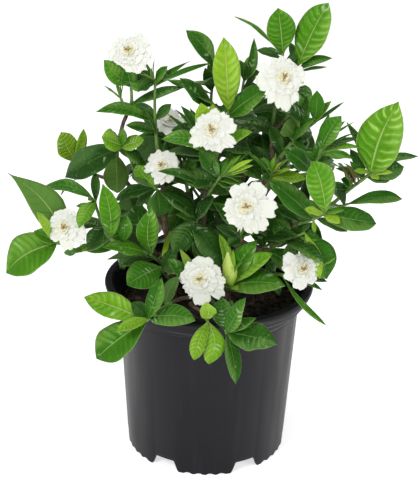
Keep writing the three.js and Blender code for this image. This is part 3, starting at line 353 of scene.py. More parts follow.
class Stem:
    """A stem, with its smooth middle line. Places on it count path points, 0 at the fork."""

    def __init__(
        self, name, path, radii, parent=None, at=0, root=None, wood=0, leaves=(), fine=(),
        pairs=0, size=PAIR_LENGTH, fills=False, end=None, across=0,
    ):
        STEMS[name] = self
        self.name = name
        self.wood = wood
        self.radii = radii
        self.leaves = leaves
        self.fine = fine
        self.pairs = pairs
        self.size = size
        self.fills = fills
        self.end = end[0] if end else None
        self.axis = Vector(end[1:]).normalized() if end else None
        self.across = across * MM
        points = [sight(*point) for point in path]
        self.head = points[-1]
        if parent:
            points.insert(0, STEMS[parent].point(at))
        else:
            x, y = root
            foot = [Vector((x * MM, y * MM, SOIL_TOP + up)) for up in (-ROOT_DEPTH, 2 * MM)]
            points = foot + points
        if self.end == "bloom":
            points[-1] = points[-1] - self.axis * (TUBE_LENGTH + STEM_GAP)
        self.points = points
        self.last = len(points) - 1
        self.trunk = STEMS[parent].trunk if parent else self
        self.shoot = self if wood > 0 else STEMS[parent].shoot

    def point(self, place):
        place = min(max(place, 0), self.last)
        start = min(int(place), self.last - 1)
        share = place - start
        p = self.points
        before = p[start - 1] if start else p[0] * 2 - p[1]
        after = p[start + 2] if start + 2 <= self.last else p[-1] * 2 - p[-2]
        here, there = p[start], p[start + 1]
        leave = (there - before) / 2
        arrive = (after - here) / 2
        turn = (there - here) * 3 - leave * 2 - arrive
        close = (here - there) * 2 + leave + arrive
        return here + leave * share + turn * share**2 + close * share**3

    def tangent(self, place):
        back = self.point(max(place - TANGENT_STEP, 0))
        ahead = self.point(min(place + TANGENT_STEP, self.last))
        return (ahead - back).normalized()

    def radius(self, place):
        thick, thin = self.radii
        return (thick + (thin - thick) * place / self.last) * MM


# Each stem: its parent and the place on it where it forks, or the mm of its root in the soil, how
# far it is woody, its radii in mm from fork to end, and its path of points (picture x, y, mm out).
# Leaves are (place, tip x, tip y, tip out, width in mm, roll in degrees, age), with the habit of
# those that the picture shows from near by. Fine leaves are (place, tip x, tip y, tip out, width,
# age): slim young ones, and ones deep in the plant, that are too fine for the solids. Pairs of
# leaves, "size" mm long, grow by rule. An end is its kind and the way that it faces. A habit gives
# these traits, as far as they aren't left to chance:
TRAITS = (
    "tint", "ripple", "bow", "fold", "belly", "wide", "fullness", "streaks", "twist", "droop", "ripples",
)
LIME, BRIGHT, MID, DARK = 1, 0.7, 0.45, 0.1

Stem(
    "trunk_left", root=(-43, 0), wood=5, radii=(4.6, 1.5),
    path=[(172, 262, 10), (165, 222, 18), (163, 190, 15), (158, 152, 10), (155, 118, 8), (155, 80, 8)],
    leaves=[
        (6.9, 190, 61, -4, 14, 25, MID, (0.35, 0.03, -0.02, 0.1, 0.55, 0.55, 1.2, None, 0)),
        (6.9, 212, 63, 10, 9, 45, DARK, (0.3, 0.03, -0.06, 0.1, 1.1, 0.62, None, None, 0)),
        (6, 143, 111, 10, 12, 0, DARK), (6, 171, 104, 8, 11, 20, DARK),
        (5.6, 126, 125, 16, 14, 0, MID, (0.32, 0.03, 0, None, 1)),
        (5.9, 97, 110, 20, 17, 0, BRIGHT, (0.46, 0.04, 0.1, 0.2, 1)),
    ],
    fine=[(7, 137, 91, 14, 17, 0.1), (6.9, 167, 66, 12, 11, 0.35), (5.5, 146, 112, 22, 5, 0.3)],
    pairs=1, size=38, end=("calyx", -0.5, -0.2, 0.8),
)
Stem(
    "crown_left", parent="trunk_left", at=3.3, wood=4.5, radii=(3.2, 1.5),
    path=[
        (148, 203, 8), (128, 184, 0), (117, 160, -2), (122, 127, -2), (131, 104, 0), (131, 84, 4),
        (129, 51, 10),
    ],
    leaves=[
        (6, 104, 60, 16, 22, 0, BRIGHT, (0.58, 0.03, -0.12, 0.3, 1)),
        (6, 126, 67, 12, 17, -30, MID, (0.42, 0.03, None, None, 0.9)), (6, 153, 72, -4, 20, 0, DARK),
        (5, 184, 86, -8, 13, 0, DARK, (0.3, 0.03, 0.04, 0.1, 1, 1, None, None, 0)),
    ],
    fine=[(5.2, 140, 116, 6, 5, 0.4), (6.2, 139, 92, 16, 12, 0.35), (6.7, 148, 66, 14, 4, 0.3)],
    pairs=1, size=45, end=("bloom", -0.15, -0.75, 0.6), across=50,
)
Stem(
    "star_left", parent="crown_left", at=4.9, radii=(1.6, 1.5),
    path=[(125, 106, 8), (121, 99, 10)],
    end=("calyx", -0.35, -0.1, 0.9),
)
Stem(
    "left_high", parent="crown_left", at=2.3, wood=1.4, radii=(2.4, 1.4),
    path=[(106, 178, -18), (88, 171, -26), (74, 161, -30)],
    leaves=[(3, 61, 132, -24, 27, 10, LIME), (3, 84, 129, -36, 12, 40, LIME, (0.85, 0.03))],
    pairs=2, size=46,
)
Stem(
    "left_mid", parent="crown_left", at=3, wood=0.5, radii=(2.3, 1.5),
    path=[(116, 153, 14), (122, 146, 24)],
    leaves=[
        (2, 102, 137, 36, 25, 0, LIME, (0.84, 0.04, -0.05, 0.4, 1.3, 1.12, 0.6)),
        (2, 144, 140, 28, 20, 0, BRIGHT, (0.88, 0.03, None, 0.2)), (1.6, 64, 176, 26, 38, 0, DARK),
        (1.6, 147, 167, 16, 13, 0, MID),
        (0.9, 117, 193, 28, 30, 150, MID, (0.62, 0.03, 0.05, 0.3, 1.2, None, 0.6)),
    ],
    fine=[(1, 107, 161, 20, 11, 0.3), (1.7, 143, 165, 20, 15, 0.3), (2, 123, 128, 26, 9, 0.55)],
)
Stem(
    "left_inner", parent="trunk_left", at=3.8, wood=0.4, radii=(2.4, 1.5),
    path=[(158, 191, 34), (154, 187, 42)],
    leaves=[
        (2, 135, 165, 46, 17, 0, BRIGHT), (2, 114, 200, 34, 17, 0, DARK),
        (1.2, 160, 217, 50, 27, 0, DARK), (1.1, 197, 217, 46, 25, 0, DARK),
    ],
    fine=[(1.4, 136, 206, 36, 11, 0.2), (1.8, 133, 177, 40, 7, 0.2)],
)
Stem(
    "left_out", parent="trunk_left", at=2.2, wood=2, radii=(3, 1.6),
    path=[(150, 254, 32), (128, 246, 46), (110, 238, 54), (100, 218, 54), (94, 199, 52)],
    leaves=[
        (5, 42, 186, 46, 20, 10, MID, (0.45, 0.04, 0.1, 0.25, None, 0.95)),
        (5, 79, 228, 98, 17, 0, BRIGHT), (5, 95, 172, 42, 10, 0, DARK), (3, 103, 185, 66, 22, 0, BRIGHT),
        (3.1, 119, 203, 58, 15, 0, MID), (3.7, 90, 250, 64, 20, 0, DARK, (0.02, 0.05, None, 0.3)),
        (2.3, 125, 213, 54, 17, 0, MID),
    ],
    fine=[(5, 88, 200, 58, 7, 0.7), (4.6, 76, 206, 62, 9, 0.4), (4, 112, 196, 60, 13, 0.6)],
    pairs=1, size=40,
)
Stem(
    "left_bloom", parent="left_out", at=3, radii=(1.8, 1.5),
    path=[(96, 248, 58), (78, 250, 62), (57, 243, 64)],
    leaves=[
        (3, 5, 272, 72, 50, 0, BRIGHT, (0.7, 0.03, 0.07, 0.14, 1, 1)),
        (2.9, 34, 231, 60, 17, 0, BRIGHT, (0.7, 0.05, 0, 0.3, 1.1)), (2.8, 39, 211, 66, 14, 0, LIME),
        (2, 89, 245, 60, 8, 0, BRIGHT),
    ],
    fine=[(2.4, 70, 256, 62, 12, 0.3), (2.2, 82, 252, 74, 9, 0.75), (3, 38, 212, 90, 13, 0.95)],
)
Stem(
    "left_flower", parent="left_bloom", at=2.3, radii=(1.6, 1.5),
    path=[(66, 241, 68), (64, 227, 78)],
    leaves=[(0.9, 8, 173, 56, 30, 0, BRIGHT, (0.62, 0.08, 0.1, 0.3, 0.78, 1.15, 1.3))],
    end=("bloom", -0.1, -0.9, 0.4), across=50,
)
Stem(
    "rim_left", parent="trunk_left", at=1.8, wood=0.6, radii=(2.4, 1.5),
    path=[(160, 262, 30), (150, 254, 40)],
    leaves=[
        (2, 107, 259, 44, 20, 30, BRIGHT, (0.36, 0.03, 0.05)),
        (1.9, 151, 209, 62, 26, 0, BRIGHT, (0.7, 0.03, -0.06, 0.15, 1.2, 0.92)),
        (1.6, 130, 243, 34, 18, 0, DARK),
    ],
    fine=[(2, 104, 246, 68, 19, 0.6), (1.8, 142, 212, 44, 9, 0.3), (1.5, 120, 232, 30, 16, 0.25)],
    pairs=1, size=40,
)
Stem(
    "soil_left", parent="trunk_left", at=1.4, wood=0.5, radii=(2.2, 1.5),
    path=[(168, 278, 36), (160, 267, 54)],
    leaves=[
        (2, 127, 285, 76, 32, 0, BRIGHT, (0.46, 0.05, 0, 0.15, 1, 1.08, 0.6)),
        (1.6, 176, 247, 40, 16, 0, DARK),
    ],
    fine=[(1.6, 171, 230, 26, 6, 0.95), (1.8, 182, 268, 50, 15, 0.25)],
    pairs=1, size=38,
)
Stem(
    "trunk_front", root=(-14, -26), wood=3, radii=(4.2, 1.9),
    path=[(200, 297, 46), (214, 290, 66), (231, 286, 84)],
    leaves=[
        (3.6, 272, 253, 96, 20, 0, LIME, (0.8, 0.05, -0.02, 0.4, 1.3, 1.05)),
        (3.4, 256, 240, 80, 24, 0, MID),
        (3.8, 221, 234, 78, 9, 40, LIME, (0.92, 0.05, 0.05, None, 1.1, 1.7, 0.6)),
        (3.6, 285, 285, 112, 31, 0, MID, (0.5, 0.03, -0.03, 0.2, 1.25, 1)),
        (3.9, 240, 289, 108, 8, 0, LIME),
    ],
    fine=[(3.9, 233, 250, 92, 7, 0.75), (3.9, 241, 262, 96, 6, 0.6), (3.2, 246, 276, 84, 14, 0.4)],
    end=("bud", -0.12, -0.15, 1),
)
Stem(
    "front_left", parent="trunk_front", at=2, wood=1.3, radii=(2.6, 1.7),
    path=[(180, 299, 85), (161, 309, 122), (146, 321, 142)],
    leaves=[
        (3, 84, 297, 130, 28, 0, LIME, (0.82, 0.03, 0.01, 0.2, 1.25, 1.08, None, 0.3)),
        (3, 96, 358, 162, 41, 0, BRIGHT, (0.56, 0.03, 0, 0.12, 1.6, 1, 0.55)),
        (3, 117, 331, 158, 9, 0, LIME, (0.92, 0.04, None, None, None, 1.5)),
        (3, 195, 320, 160, 26, 0, BRIGHT, (0.4, 0.03, -0.04, 0.15, 0.9, None, 0.62)),
        (2.9, 161, 278, 136, 22, 0, MID, (0.44, 0.06, 0.04, 0.35, None, 0.8)),
        (2.8, 132, 302, 130, 17, 0, DARK),
    ],
    fine=[(2.4, 151, 316, 144, 11, 0.65), (1.8, 178, 276, 112, 15, 0.3)],
)
Stem(
    "front_lime", parent="trunk_front", at=1.6, wood=1.9, radii=(2, 1.4),
    path=[(190, 304, 78), (202, 312, 118), (208, 322, 142)],
    leaves=[
        (3, 194, 360, 165, 20, 0, LIME, (0.9, 0.05, 0.04, None, 1.3, 0.8, 0.55)),
        (3, 209, 364, 172, 23, 0, LIME, (0.86, 0.05, -0.16, None, 1.4, 0.92, 0.55)),
        (3, 207, 303, 152, 17, 0, LIME),
    ],
)
Stem(
    "front_centre", parent="trunk_front", at=2.4, wood=1, radii=(2.6, 1.6),
    path=[(213, 302, 95), (221, 317, 130), (227, 334, 148)],
    leaves=[
        (3, 236, 384, 172, 20, 0, MID, (0.28, 0.05, -0.03, None, 1, 0.78)),
        (3, 277, 343, 166, 36, 0, MID, (0.24, 0.05, 0.03, None, 1.1, 0.95)),
        (2.9, 245, 298, 158, 20, 0, BRIGHT, (0.46, 0.05, 0.03, 0.3, 0.9, 0.92)),
        (2.8, 222, 297, 146, 21, 0, DARK),
    ],
    fine=[(2.9, 256, 318, 152, 12, 0.3), (2.4, 232, 300, 130, 12, 0.2)],
)
Stem(
    "front_flower", parent="trunk_front", at=2.7, wood=0.6, radii=(2, 1.6),
    path=[(202, 291, 88), (200, 279, 110)],
    leaves=[(1, 168, 259, 86, 17, 0, MID), (1.1, 181, 249, 84, 10, 0, LIME)],
    end=("bloom", -0.05, -0.88, 0.45), across=56,
)
Stem(
    "trunk_centre", root=(-4, 10), wood=5, radii=(4.2, 1.6),
    path=[(205, 262, 8), (203, 225, 14), (206, 196, 18), (214, 165, 15), (222, 135, 12), (229, 111, 8)],
    leaves=[
        (7, 224, 38, 22, 34, 0, LIME, (0.95, 0.03, 0, 0.22, 1.2, 0.86, None, 0.5)),
        (6.8, 268, 88, 24, 27, 0, MID, (0.5, 0.04, 0.03, 0.15, 1.1, 1.18)),
        (5.6, 196, 176, -6, 16, 0, DARK),
    ],
    pairs=3, size=46,
)
Stem(
    "centre_low", parent="trunk_centre", at=3, wood=0.6, radii=(2.2, 1.5),
    path=[(198, 225, 36), (193, 222, 48)],
    leaves=[
        (2, 173, 253, 64, 27, 0, DARK), (2, 221, 267, 72, 27, 0, DARK), (1.7, 213, 196, 40, 16, 0, DARK),
    ],
    fine=[(1.8, 186, 252, 50, 12, 0.3), (2, 176, 214, 56, 7, 0.4), (1.6, 206, 262, 50, 14, 0.3)],
)
Stem(
    "top_left", parent="trunk_centre", at=4.6, wood=0.8, radii=(2.4, 1.4),
    path=[(212, 132, -5), (211, 100, -8), (215, 69, -8)],
    leaves=[
        (3, 187, 30, -10, 20, 0, MID, (0.36, 0.04, 0.05, 0.3, None, 1.1)),
        (2.3, 205, 68, -4, 14, 0, DARK),
        (1.8, 180, 78, 0, 19, 0, DARK, (0.32, 0.04, -0.08, None, None, 1.15)),
    ],
    fine=[(2.2, 168, 80, -14, 10, 0.6), (1.4, 226, 108, -4, 14, 0.4), (2.6, 208, 64, -8, 8, 0.3)],
    pairs=2, size=42, end=("calyx", 0.2, -0.3, 0.9),
)
Stem(
    "crown_dark", parent="trunk_centre", at=4.5, wood=0.6, radii=(2.2, 1.4),
    path=[(237, 112, -14), (244, 80, -14)],
    leaves=[
        (2, 256, 54, -12, 16, 0, BRIGHT, (0.86, 0.04)),
        (2, 254, 38, -16, 9, 0, DARK, (0.2, 0.04, 0.1, None, None, 1.1)),
        (1.8, 259, 90, -6, 11, 0, DARK),
    ],
    fine=[(2, 240, 60, -10, 10, 0.5), (1.6, 262, 66, -10, 8, 0.3)],
    pairs=1, size=42,
)
Stem(
    "centre_flower", parent="trunk_centre", at=4.4, wood=0.5, radii=(2.2, 1.6),
    path=[(211, 152, 40), (211, 130, 62)],
    leaves=[
        (1, 163, 138, 50, 22, 0, BRIGHT, (0.58, 0.03, 0.12, 0.2, 1, None, 0.6)),
        (1.2, 252, 131, 48, 17, 0, BRIGHT), (1, 213, 103, 26, 15, 20, LIME),
        (0.9, 181, 106, 20, 11, 0, DARK), (0.8, 168, 114, 14, 6, 0, DARK),
    ],
    fine=[
        (1.3, 201, 103, 44, 20, 0.97), (0.9, 176, 109, 18, 5, 0.3), (0.85, 190, 108, 18, 8, 0.3),
        (0.9, 198, 110, 20, 10, 0.35), (0.7, 186, 158, 20, 12, 0.2), (1.1, 222, 152, 46, 10, 0.5),
        (0.8, 168, 150, 20, 12, 0.15),
    ],
    end=("bloom", 0, -0.85, 0.5), across=54,
)
Stem(
    "back_flower", parent="trunk_left", at=4.6, wood=0.5, radii=(1.9, 1.5),
    path=[(166, 142, -14), (170, 121, -22)],
    leaves=[(0.9, 186, 122, -14, 12, 0, DARK)],
    end=("bloom", 0.2, -0.3, 0.9), across=34,
)
Stem(
    "inner_flower", parent="trunk_left", at=4.2, wood=0.6, radii=(2, 1.6),
    path=[(163, 180, 28), (163, 166, 42)],
    end=("bloom", -0.35, -0.7, 0.6), across=52,
)
Stem(
    "star_centre", parent="trunk_centre", at=3.6, wood=0.6, radii=(2.2, 1.7),
    path=[(211, 190, 42), (221, 176, 60)],
    leaves=[
        (1.6, 182, 178, 52, 26, 0, DARK), (1.8, 200, 150, 44, 21, 0, DARK),
        (1, 156, 173, 26, 20, 0, DARK), (1.5, 242, 187, 56, 12, 0, MID),
    ],
    fine=[
        (1, 158, 171, 76, 13, 0.2), (2, 252, 159, 66, 6, 0.98), (2, 253, 165, 66, 6, 0.92),
        (1.95, 247, 170, 64, 6, 0.9), (1.9, 240, 155, 58, 7, 0.75), (1.8, 228, 157, 50, 8, 0.4),
        (1.8, 244, 184, 60, 10, 0.4), (2, 214, 160, 56, 7, 0.4), (1.6, 231, 188, 60, 8, 0.3),
        (1.4, 250, 151, 48, 4, 0.5),
    ],
    end=("calyx", 0.85, -0.3, 0.45),
)
Stem(
    "trunk_right", root=(22, -4), wood=5, radii=(4.6, 1.7),
    path=[
        (232, 262, 15), (246, 226, 20), (262, 188, 15), (280, 158, 12), (298, 136, 12), (315, 122, 14),
    ],
    leaves=[
        (7, 317, 91, 20, 16, 0, MID),
        (7, 331, 101, 18, 9, 0, BRIGHT, (0.72, 0.04, None, None, None, 1.15)),
        (6.8, 344, 102, 16, 4, 0, DARK), (6.8, 271, 102, 26, 18, 0, DARK),
        (6.6, 289, 103, 18, 6, 0, DARK),
        (6, 285, 122, 30, 18, 120, LIME, (0.6, 0.08, None, 0.5, None, 1.1)),
    ],
    fine=[
        (5.6, 314, 118, 28, 16, 0.35), (5.2, 270, 126, 10, 16, 0.25), (4.6, 252, 146, 14, 14, 0.15),
        (6.4, 307, 96, 14, 10, 0.3), (5.9, 300, 150, 34, 12, 0.3), (4.4, 282, 196, 30, 13, 0.2),
    ],
    pairs=1, size=44,
)
Stem(
    "right_mid", parent="trunk_right", at=4.2, wood=0.8, radii=(2.4, 1.5),
    path=[(294, 176, 30), (311, 171, 42), (321, 149, 48)],
    leaves=[
        (3, 341, 116, 50, 20, 0, MID, (0.5, 0.04, None, 0.2, None, 1.12)), (3, 359, 138, 42, 7, 0, DARK),
        (3, 361, 147, 52, 8, 0, MID, (0.72, 0.04)),
        (2, 283, 149, 48, 22, 0, DARK, (0.4, 0.04, None, 0.2, None, 1.1)),
        (2.3, 334, 160, 38, 14, 0, DARK),
    ],
    fine=[
        (3, 345, 121, 48, 6, 0.7), (3, 354, 122, 46, 2.6, 0.4), (3, 355, 132, 46, 2.6, 0.3),
        (2.8, 336, 134, 48, 5, 0.6), (2.2, 330, 170, 40, 9, 0.25), (2.2, 329, 113, 36, 12, 0.35),
        (2.5, 305, 152, 44, 10, 0.45), (1.6, 292, 190, 40, 12, 0.2),
    ],
    pairs=1, size=40,
)
Stem(
    "crown_right", parent="trunk_right", at=4.6, wood=1.4, radii=(2.8, 1.5),
    path=[(272, 138, -6), (275, 106, -10), (280, 76, -10), (283, 53, -8)],
    leaves=[
        (4, 278, 8, -4, 31, 0, BRIGHT, (0.66, 0.03, 0, 0.3, 1.15, None, None, 0.3)),
        (3.9, 236, 15, -14, 11, 20, BRIGHT, (0.62, 0.06, 0.02, None, None, 0.62)),
        (4, 288, 15, -18, 8, 60, MID), (3.7, 257, 50, -10, 11, 0, DARK),
    ],
    fine=[(3.9, 262, 50, -16, 8, 0.2), (2.4, 300, 62, -16, 7, 0.3), (3.2, 300, 48, -18, 9, 0.15)],
    pairs=2, size=42,
)
Stem(
    "crown_flower", parent="crown_right", at=2.2, radii=(1.7, 1.6),
    path=[(281, 90, 14), (284, 78, 28)],
    end=("bloom", 0.05, -0.8, 0.55), across=58,
)
Stem(
    "far_right", parent="crown_right", at=1.2, wood=0.6, radii=(2.2, 1.4),
    path=[(290, 112, -18), (297, 88, -16), (298, 65, -12)],
    leaves=[
        (3, 328, 3, -6, 36, 0, BRIGHT, (0.72, 0.03, 0, 0.2, 1.3, 1.03, 0.62, 0.5)),
        (2.8, 332, 58, -6, 10, 30, DARK, (0.35, 0.04, -0.08)), (2.7, 327, 67, 0, 5, 0, DARK),
        (2.9, 290, 42, -22, 10, 0, DARK),
    ],
    fine=[
        (2, 309, 87, -8, 2.6, 0.5), (2, 312, 95, -8, 2.6, 0.4), (1.9, 307, 102, -8, 2.6, 0.4),
        (2, 296, 99, -6, 2.6, 0.3), (2.05, 294, 90, -6, 2.6, 0.5), (2.1, 304, 83, -8, 5, 0.75),
        (1.2, 313, 109, -2, 4, 0.15), (1.4, 306, 116, -6, 3, 0.1),
    ],
    pairs=2, size=44,
)
Stem(
    "right_lime", parent="trunk_right", at=3, wood=2.2, radii=(3, 1.7),
    path=[(268, 232, 36), (292, 226, 54), (313, 219, 66), (326, 213, 74)],
    leaves=[
        (4, 314, 162, 82, 36, 0, LIME, (0.76, 0.02, 0.02, 0.2, 1.5, 0.93, 0.55, 0.4)),
        (4, 305, 209, 84, 11, 0, LIME), (4, 340, 223, 84, 12, 0, LIME),
        (3.8, 377, 223, 62, 32, 0, MID, (0.4, 0.03, 0.03, 0.2, 1, 0.82, 0.55)),
        (3, 268, 180, 66, 28, 0, DARK, (0.32, 0.04, None, 0.25)), (2.4, 275, 206, 48, 15, 0, DARK),
    ],
    fine=[
        (3, 315, 233, 70, 5, 1), (3.6, 300, 200, 66, 12, 0.25), (3, 296, 214, 60, 12, 0.3),
        (3.9, 344, 210, 78, 6, 0.6), (2, 284, 208, 50, 13, 0.15), (3.2, 348, 231, 68, 13, 0.45),
    ],
)
Stem(
    "star_right", parent="trunk_right", at=3.6, wood=0.6, radii=(2, 1.6),
    path=[(268, 184, 38), (272, 173, 50)],
    leaves=[
        (1.6, 306, 178, 54, 16, 0, BRIGHT, (0.86, 0.05, None, 0.2)), (1.2, 263, 157, 40, 14, 0, DARK),
    ],
    fine=[
        (2, 281, 162, 60, 4, 0.98), (2, 274, 157, 58, 5, 0.8), (2, 291, 168, 60, 5, 0.92),
        (1.9, 260, 158, 50, 8, 0.4), (1.9, 245, 150, 44, 4, 0.5), (2, 288, 158, 52, 4, 0.7),
        (1.7, 262, 178, 50, 10, 0.3), (1.5, 286, 186, 54, 12, 0.7),
    ],
    end=("calyx", 0.1, -0.5, 0.8),
)
Stem(
    "right_hero", parent="right_lime", at=1.6, wood=1.6, radii=(2.6, 1.8),
    path=[(308, 212, 14), (330, 205, 26), (346, 192, 38), (362, 180, 46), (371, 173, 50)],
    leaves=[
        (5, 398, 102, 58, 47, 0, BRIGHT, (0.78, 0.03, -0.035, 0.16, 0.86, None, None, 1, None, None, 2.6)),
        (4.8, 379, 179, 62, 7, 0, LIME),
        (4.6, 404, 166, 38, 30, 0, DARK, (0.24, 0.04, 0.08, 0.3, None, 0.82)),
        (4.4, 418, 156, 22, 9, 0, DARK, (0.3, 0.04, -0.06, None, 1.6, 1.25)),
        (4.4, 350, 149, 36, 12, 0, DARK), (4.9, 347, 122, 28, 9, 0, DARK),
    ],
    fine=[
        (5, 354, 171, 56, 7, 0.9), (5, 392, 172, 60, 7, 0.9), (4.9, 384, 164, 56, 8, 0.8),
        (4.2, 336, 168, 40, 9, 0.2), (3.6, 344, 172, 40, 10, 0.25), (3.2, 330, 184, 36, 10, 0.2),
        (2.6, 350, 184, 40, 8, 0.5), (3.4, 341, 179, 44, 13, 0.2), (3, 352, 176, 46, 10, 0.3),
        (4, 350, 161, 50, 8, 0.3), (4.4, 392, 178, 48, 19, 0.2), (3.8, 345, 163, 54, 5, -0.25),
        (3.6, 350, 169, 56, 5, -0.25), (3.6, 341, 167, 54, 4, -0.25),
    ],
    pairs=1, size=40,
)
Stem(
    "right_low", parent="right_hero", at=2.1, radii=(1.8, 1.5),
    path=[(340, 206, 38), (348, 204, 42)],
    leaves=[
        (2, 402, 198, 46, 20, 0, MID, (0.36, 0.03, -0.03, 0.2, 1.35, 0.82, 0.6)),
        (1.6, 337, 189, 44, 10, 0, DARK),
    ],
)
Stem(
    "right_rim", parent="trunk_right", at=2.6, wood=1.2, radii=(2.6, 1.6),
    path=[(264, 250, 36), (286, 240, 58), (305, 233, 72)],
    leaves=[
        (3, 327, 279, 84, 36, 0, MID, (0.4, 0.03, -0.04, 0.2)), (2.6, 262, 238, 62, 18, 0, DARK),
        (2.8, 306, 222, 50, 12, 0, DARK),
    ],
    fine=[
        (2, 323, 263, 112, 18, 0.25), (3, 320, 279, 100, 12, 0.9), (2.6, 320, 239, 72, 15, 0.35),
        (2, 281, 226, 56, 13, 0.3), (1.8, 258, 230, 60, 13, 0.35), (2.4, 290, 264, 60, 16, 0.2),
    ],
    pairs=1, size=42,
)
Stem(
    "right_flower", parent="trunk_right", at=2.1, wood=1, radii=(2.4, 1.6),
    path=[(262, 270, 46), (286, 275, 74), (303, 269, 98)],
    leaves=[
        (2.1, 327, 281, 84, 12, 0, DARK),
        (1.8, 326, 325, 98, 8, 30, MID, (None, 0.1, 0.05, 0.4, 1.5, 0.8, 0.6, None, None, 0)),
    ],
    fine=[
        (1.5, 266, 261, 60, 14, 0.2), (1.2, 280, 296, 58, 11, 0.2), (2.4, 322, 290, 86, 7, 0.15),
        (2.6, 335, 258, 78, 14, 0.88),
    ],
    end=("bloom", 0.1, -0.85, 0.45), across=48,
)
Stem(
    "middle_flower", parent="trunk_right", at=2.8, wood=0.8, radii=(2.4, 1.7),
    path=[(240, 240, 48), (243, 222, 76), (246, 207, 96)],
    leaves=[(1.4, 214, 202, 60, 17, 0, DARK), (1.2, 228, 246, 66, 15, 0, DARK)],
    fine=[(1.2, 228, 226, 70, 9, 0.2), (1.3, 262, 232, 72, 10, 0.25), (1, 216, 226, 56, 14, 0.15)],
    end=("bloom", 0.05, -0.88, 0.42), across=60,
)
Stem(
    "trunk_back", root=(6, 34), wood=5, radii=(4.4, 1.8),
    path=[(222, 262, -40), (232, 225, -52), (240, 190, -62), (246, 160, -70), (248, 128, -76)],
    pairs=2, size=64,
)
Stem(
    "inner_left", parent="trunk_left", at=2.6, wood=1, radii=(2.6, 1.6),
    path=[(150, 200, -20), (138, 180, -34), (130, 158, -40)],
    pairs=7, fills=True,
)
Stem(
    "inner_centre", parent="trunk_centre", at=2.7, wood=1, radii=(2.6, 1.6),
    path=[(188, 192, -22), (184, 162, -38), (186, 132, -44)],
    pairs=7, fills=True,
)
Stem(
    "inner_crown", parent="inner_centre", at=2, radii=(1.8, 1.5),
    path=[(214, 148, -38), (238, 132, -36), (252, 114, -34)],
    pairs=7, fills=True,
)
Stem(
    "inner_heart", parent="inner_centre", at=1.5, radii=(1.8, 1.5),
    path=[(204, 204, -20), (216, 216, -14), (226, 224, -10)],
    pairs=8, fills=True,
)
Stem(
    "inner_right", parent="trunk_right", at=2.4, wood=1, radii=(2.6, 1.6),
    path=[(268, 190, -22), (290, 160, -34), (304, 132, -38)],
    pairs=7, fills=True,
)
Stem(
    "inner_top", parent="inner_right", at=2.4, radii=(1.8, 1.5),
    path=[(296, 122, -28), (294, 106, -26)],
    pairs=5, fills=True,
)
Stem(
    "inner_low_right", parent="trunk_right", at=1.6, wood=1, radii=(2.6, 1.6),
    path=[(256, 254, -6), (276, 240, -16), (296, 230, -20)],
    pairs=6, fills=True,
)
Stem(
    "inner_low_left", parent="trunk_left", at=1.6, wood=1, radii=(2.6, 1.6),
    path=[(150, 246, -10), (130, 234, -24), (114, 224, -30)],
    pairs=6, fills=True,
)
Stem(
    "back_left", parent="trunk_back", at=3, wood=2, radii=(3, 1.6),
    path=[(206, 196, -82), (182, 172, -96), (162, 150, -104)],
    pairs=4, size=66,
)
Stem(
    "back_right", parent="trunk_back", at=3.4, wood=2, radii=(3, 1.6),
    path=[(270, 184, -80), (296, 172, -92), (320, 160, -98)],
    pairs=4, size=66,
)
Stem(
    "back_middle", parent="trunk_back", at=2.6, wood=1.5, radii=(3, 1.6),
    path=[(236, 212, -80), (240, 190, -104), (242, 172, -116)],
    pairs=4, size=66,
)
Stem(
    "back_low_left", parent="trunk_back", at=2, wood=1.5, radii=(3, 1.6),
    path=[(200, 242, -72), (176, 226, -100), (156, 212, -120)],
    pairs=4, size=66,
)
Stem(
    "back_low_right", parent="trunk_back", at=2.2, wood=1.5, radii=(3, 1.6),
    path=[(262, 240, -70), (288, 226, -96), (308, 214, -114)],
    pairs=4, size=66,
)


def ring_at(centre, along, radius):
    side = along.cross(SIDE_HINT).normalized()
    facing = Matrix((side, along.cross(side), along)).transposed().to_4x4()
    return Matrix.Translation(centre) @ facing @ Matrix.Scale(radius, 4)


def sweep(bm, rings, sides):
    """Extrudes a circle of edges from ring to ring, closed at both ends. Gives its corners."""
    corners = bmesh.ops.create_circle(bm, cap_ends=True, segments=sides, radius=1)["verts"]
    bmesh.ops.transform(bm, matrix=rings[0], verts=corners)
    edges = list(dict.fromkeys(edge for corner in corners for edge in corner.link_edges))
    made = list(corners)
    for before, after in zip(rings, rings[1:]):
        grown = bmesh.ops.extrude_edge_only(bm, edges=edges)["geom"]
        corners = [part for part in grown if isinstance(part, bmesh.types.BMVert)]
        fresh = set(corners)
        edges = [
            part for part in grown
            if isinstance(part, bmesh.types.BMEdge) and fresh.issuperset(part.verts)
        ]
        bmesh.ops.transform(bm, matrix=after @ before.inverted(), verts=corners)
        made += corners
    bmesh.ops.contextual_create(bm, geom=edges)
    return made


def bark():
    skin = Skin("gardenia_bark")
    strands = skin.noise(420, 5, (1, 1, 0.25))
    lenticels = skin.cells(380, "Distance").curve(0.22, 0.1)
    colour = skin.ramp(
        strands, (0.3, (0.045, 0.028, 0.016)), (0.5, (0.13, 0.085, 0.05)), (0.72, (0.27, 0.2, 0.135)),
    )
    colour = skin.blend(skin.noise(70, 3).curve(0.52, 0.7, 0, 0.45), colour, (0.1, 0.12, 0.035))
    colour = skin.blend(lenticels * 0.5, colour, (0.34, 0.27, 0.19))
    return skin.finish(colour, 0.82, (strands + lenticels * 0.4, 0.7, 1.2 * MM))


def rings_along(stem, start, end, per_place, swelling):
    """Rings between two places on a stem, thicker by a swelling that depends on the place."""
    count = max(3, round((end - start) * per_place))
    rings = []
    for i in range(count + 1):
        place = start + (end - start) * i / count
        radius = stem.radius(place) * swelling(place)
        rings.append(ring_at(stem.point(place), stem.tangent(place), radius))
    return rings


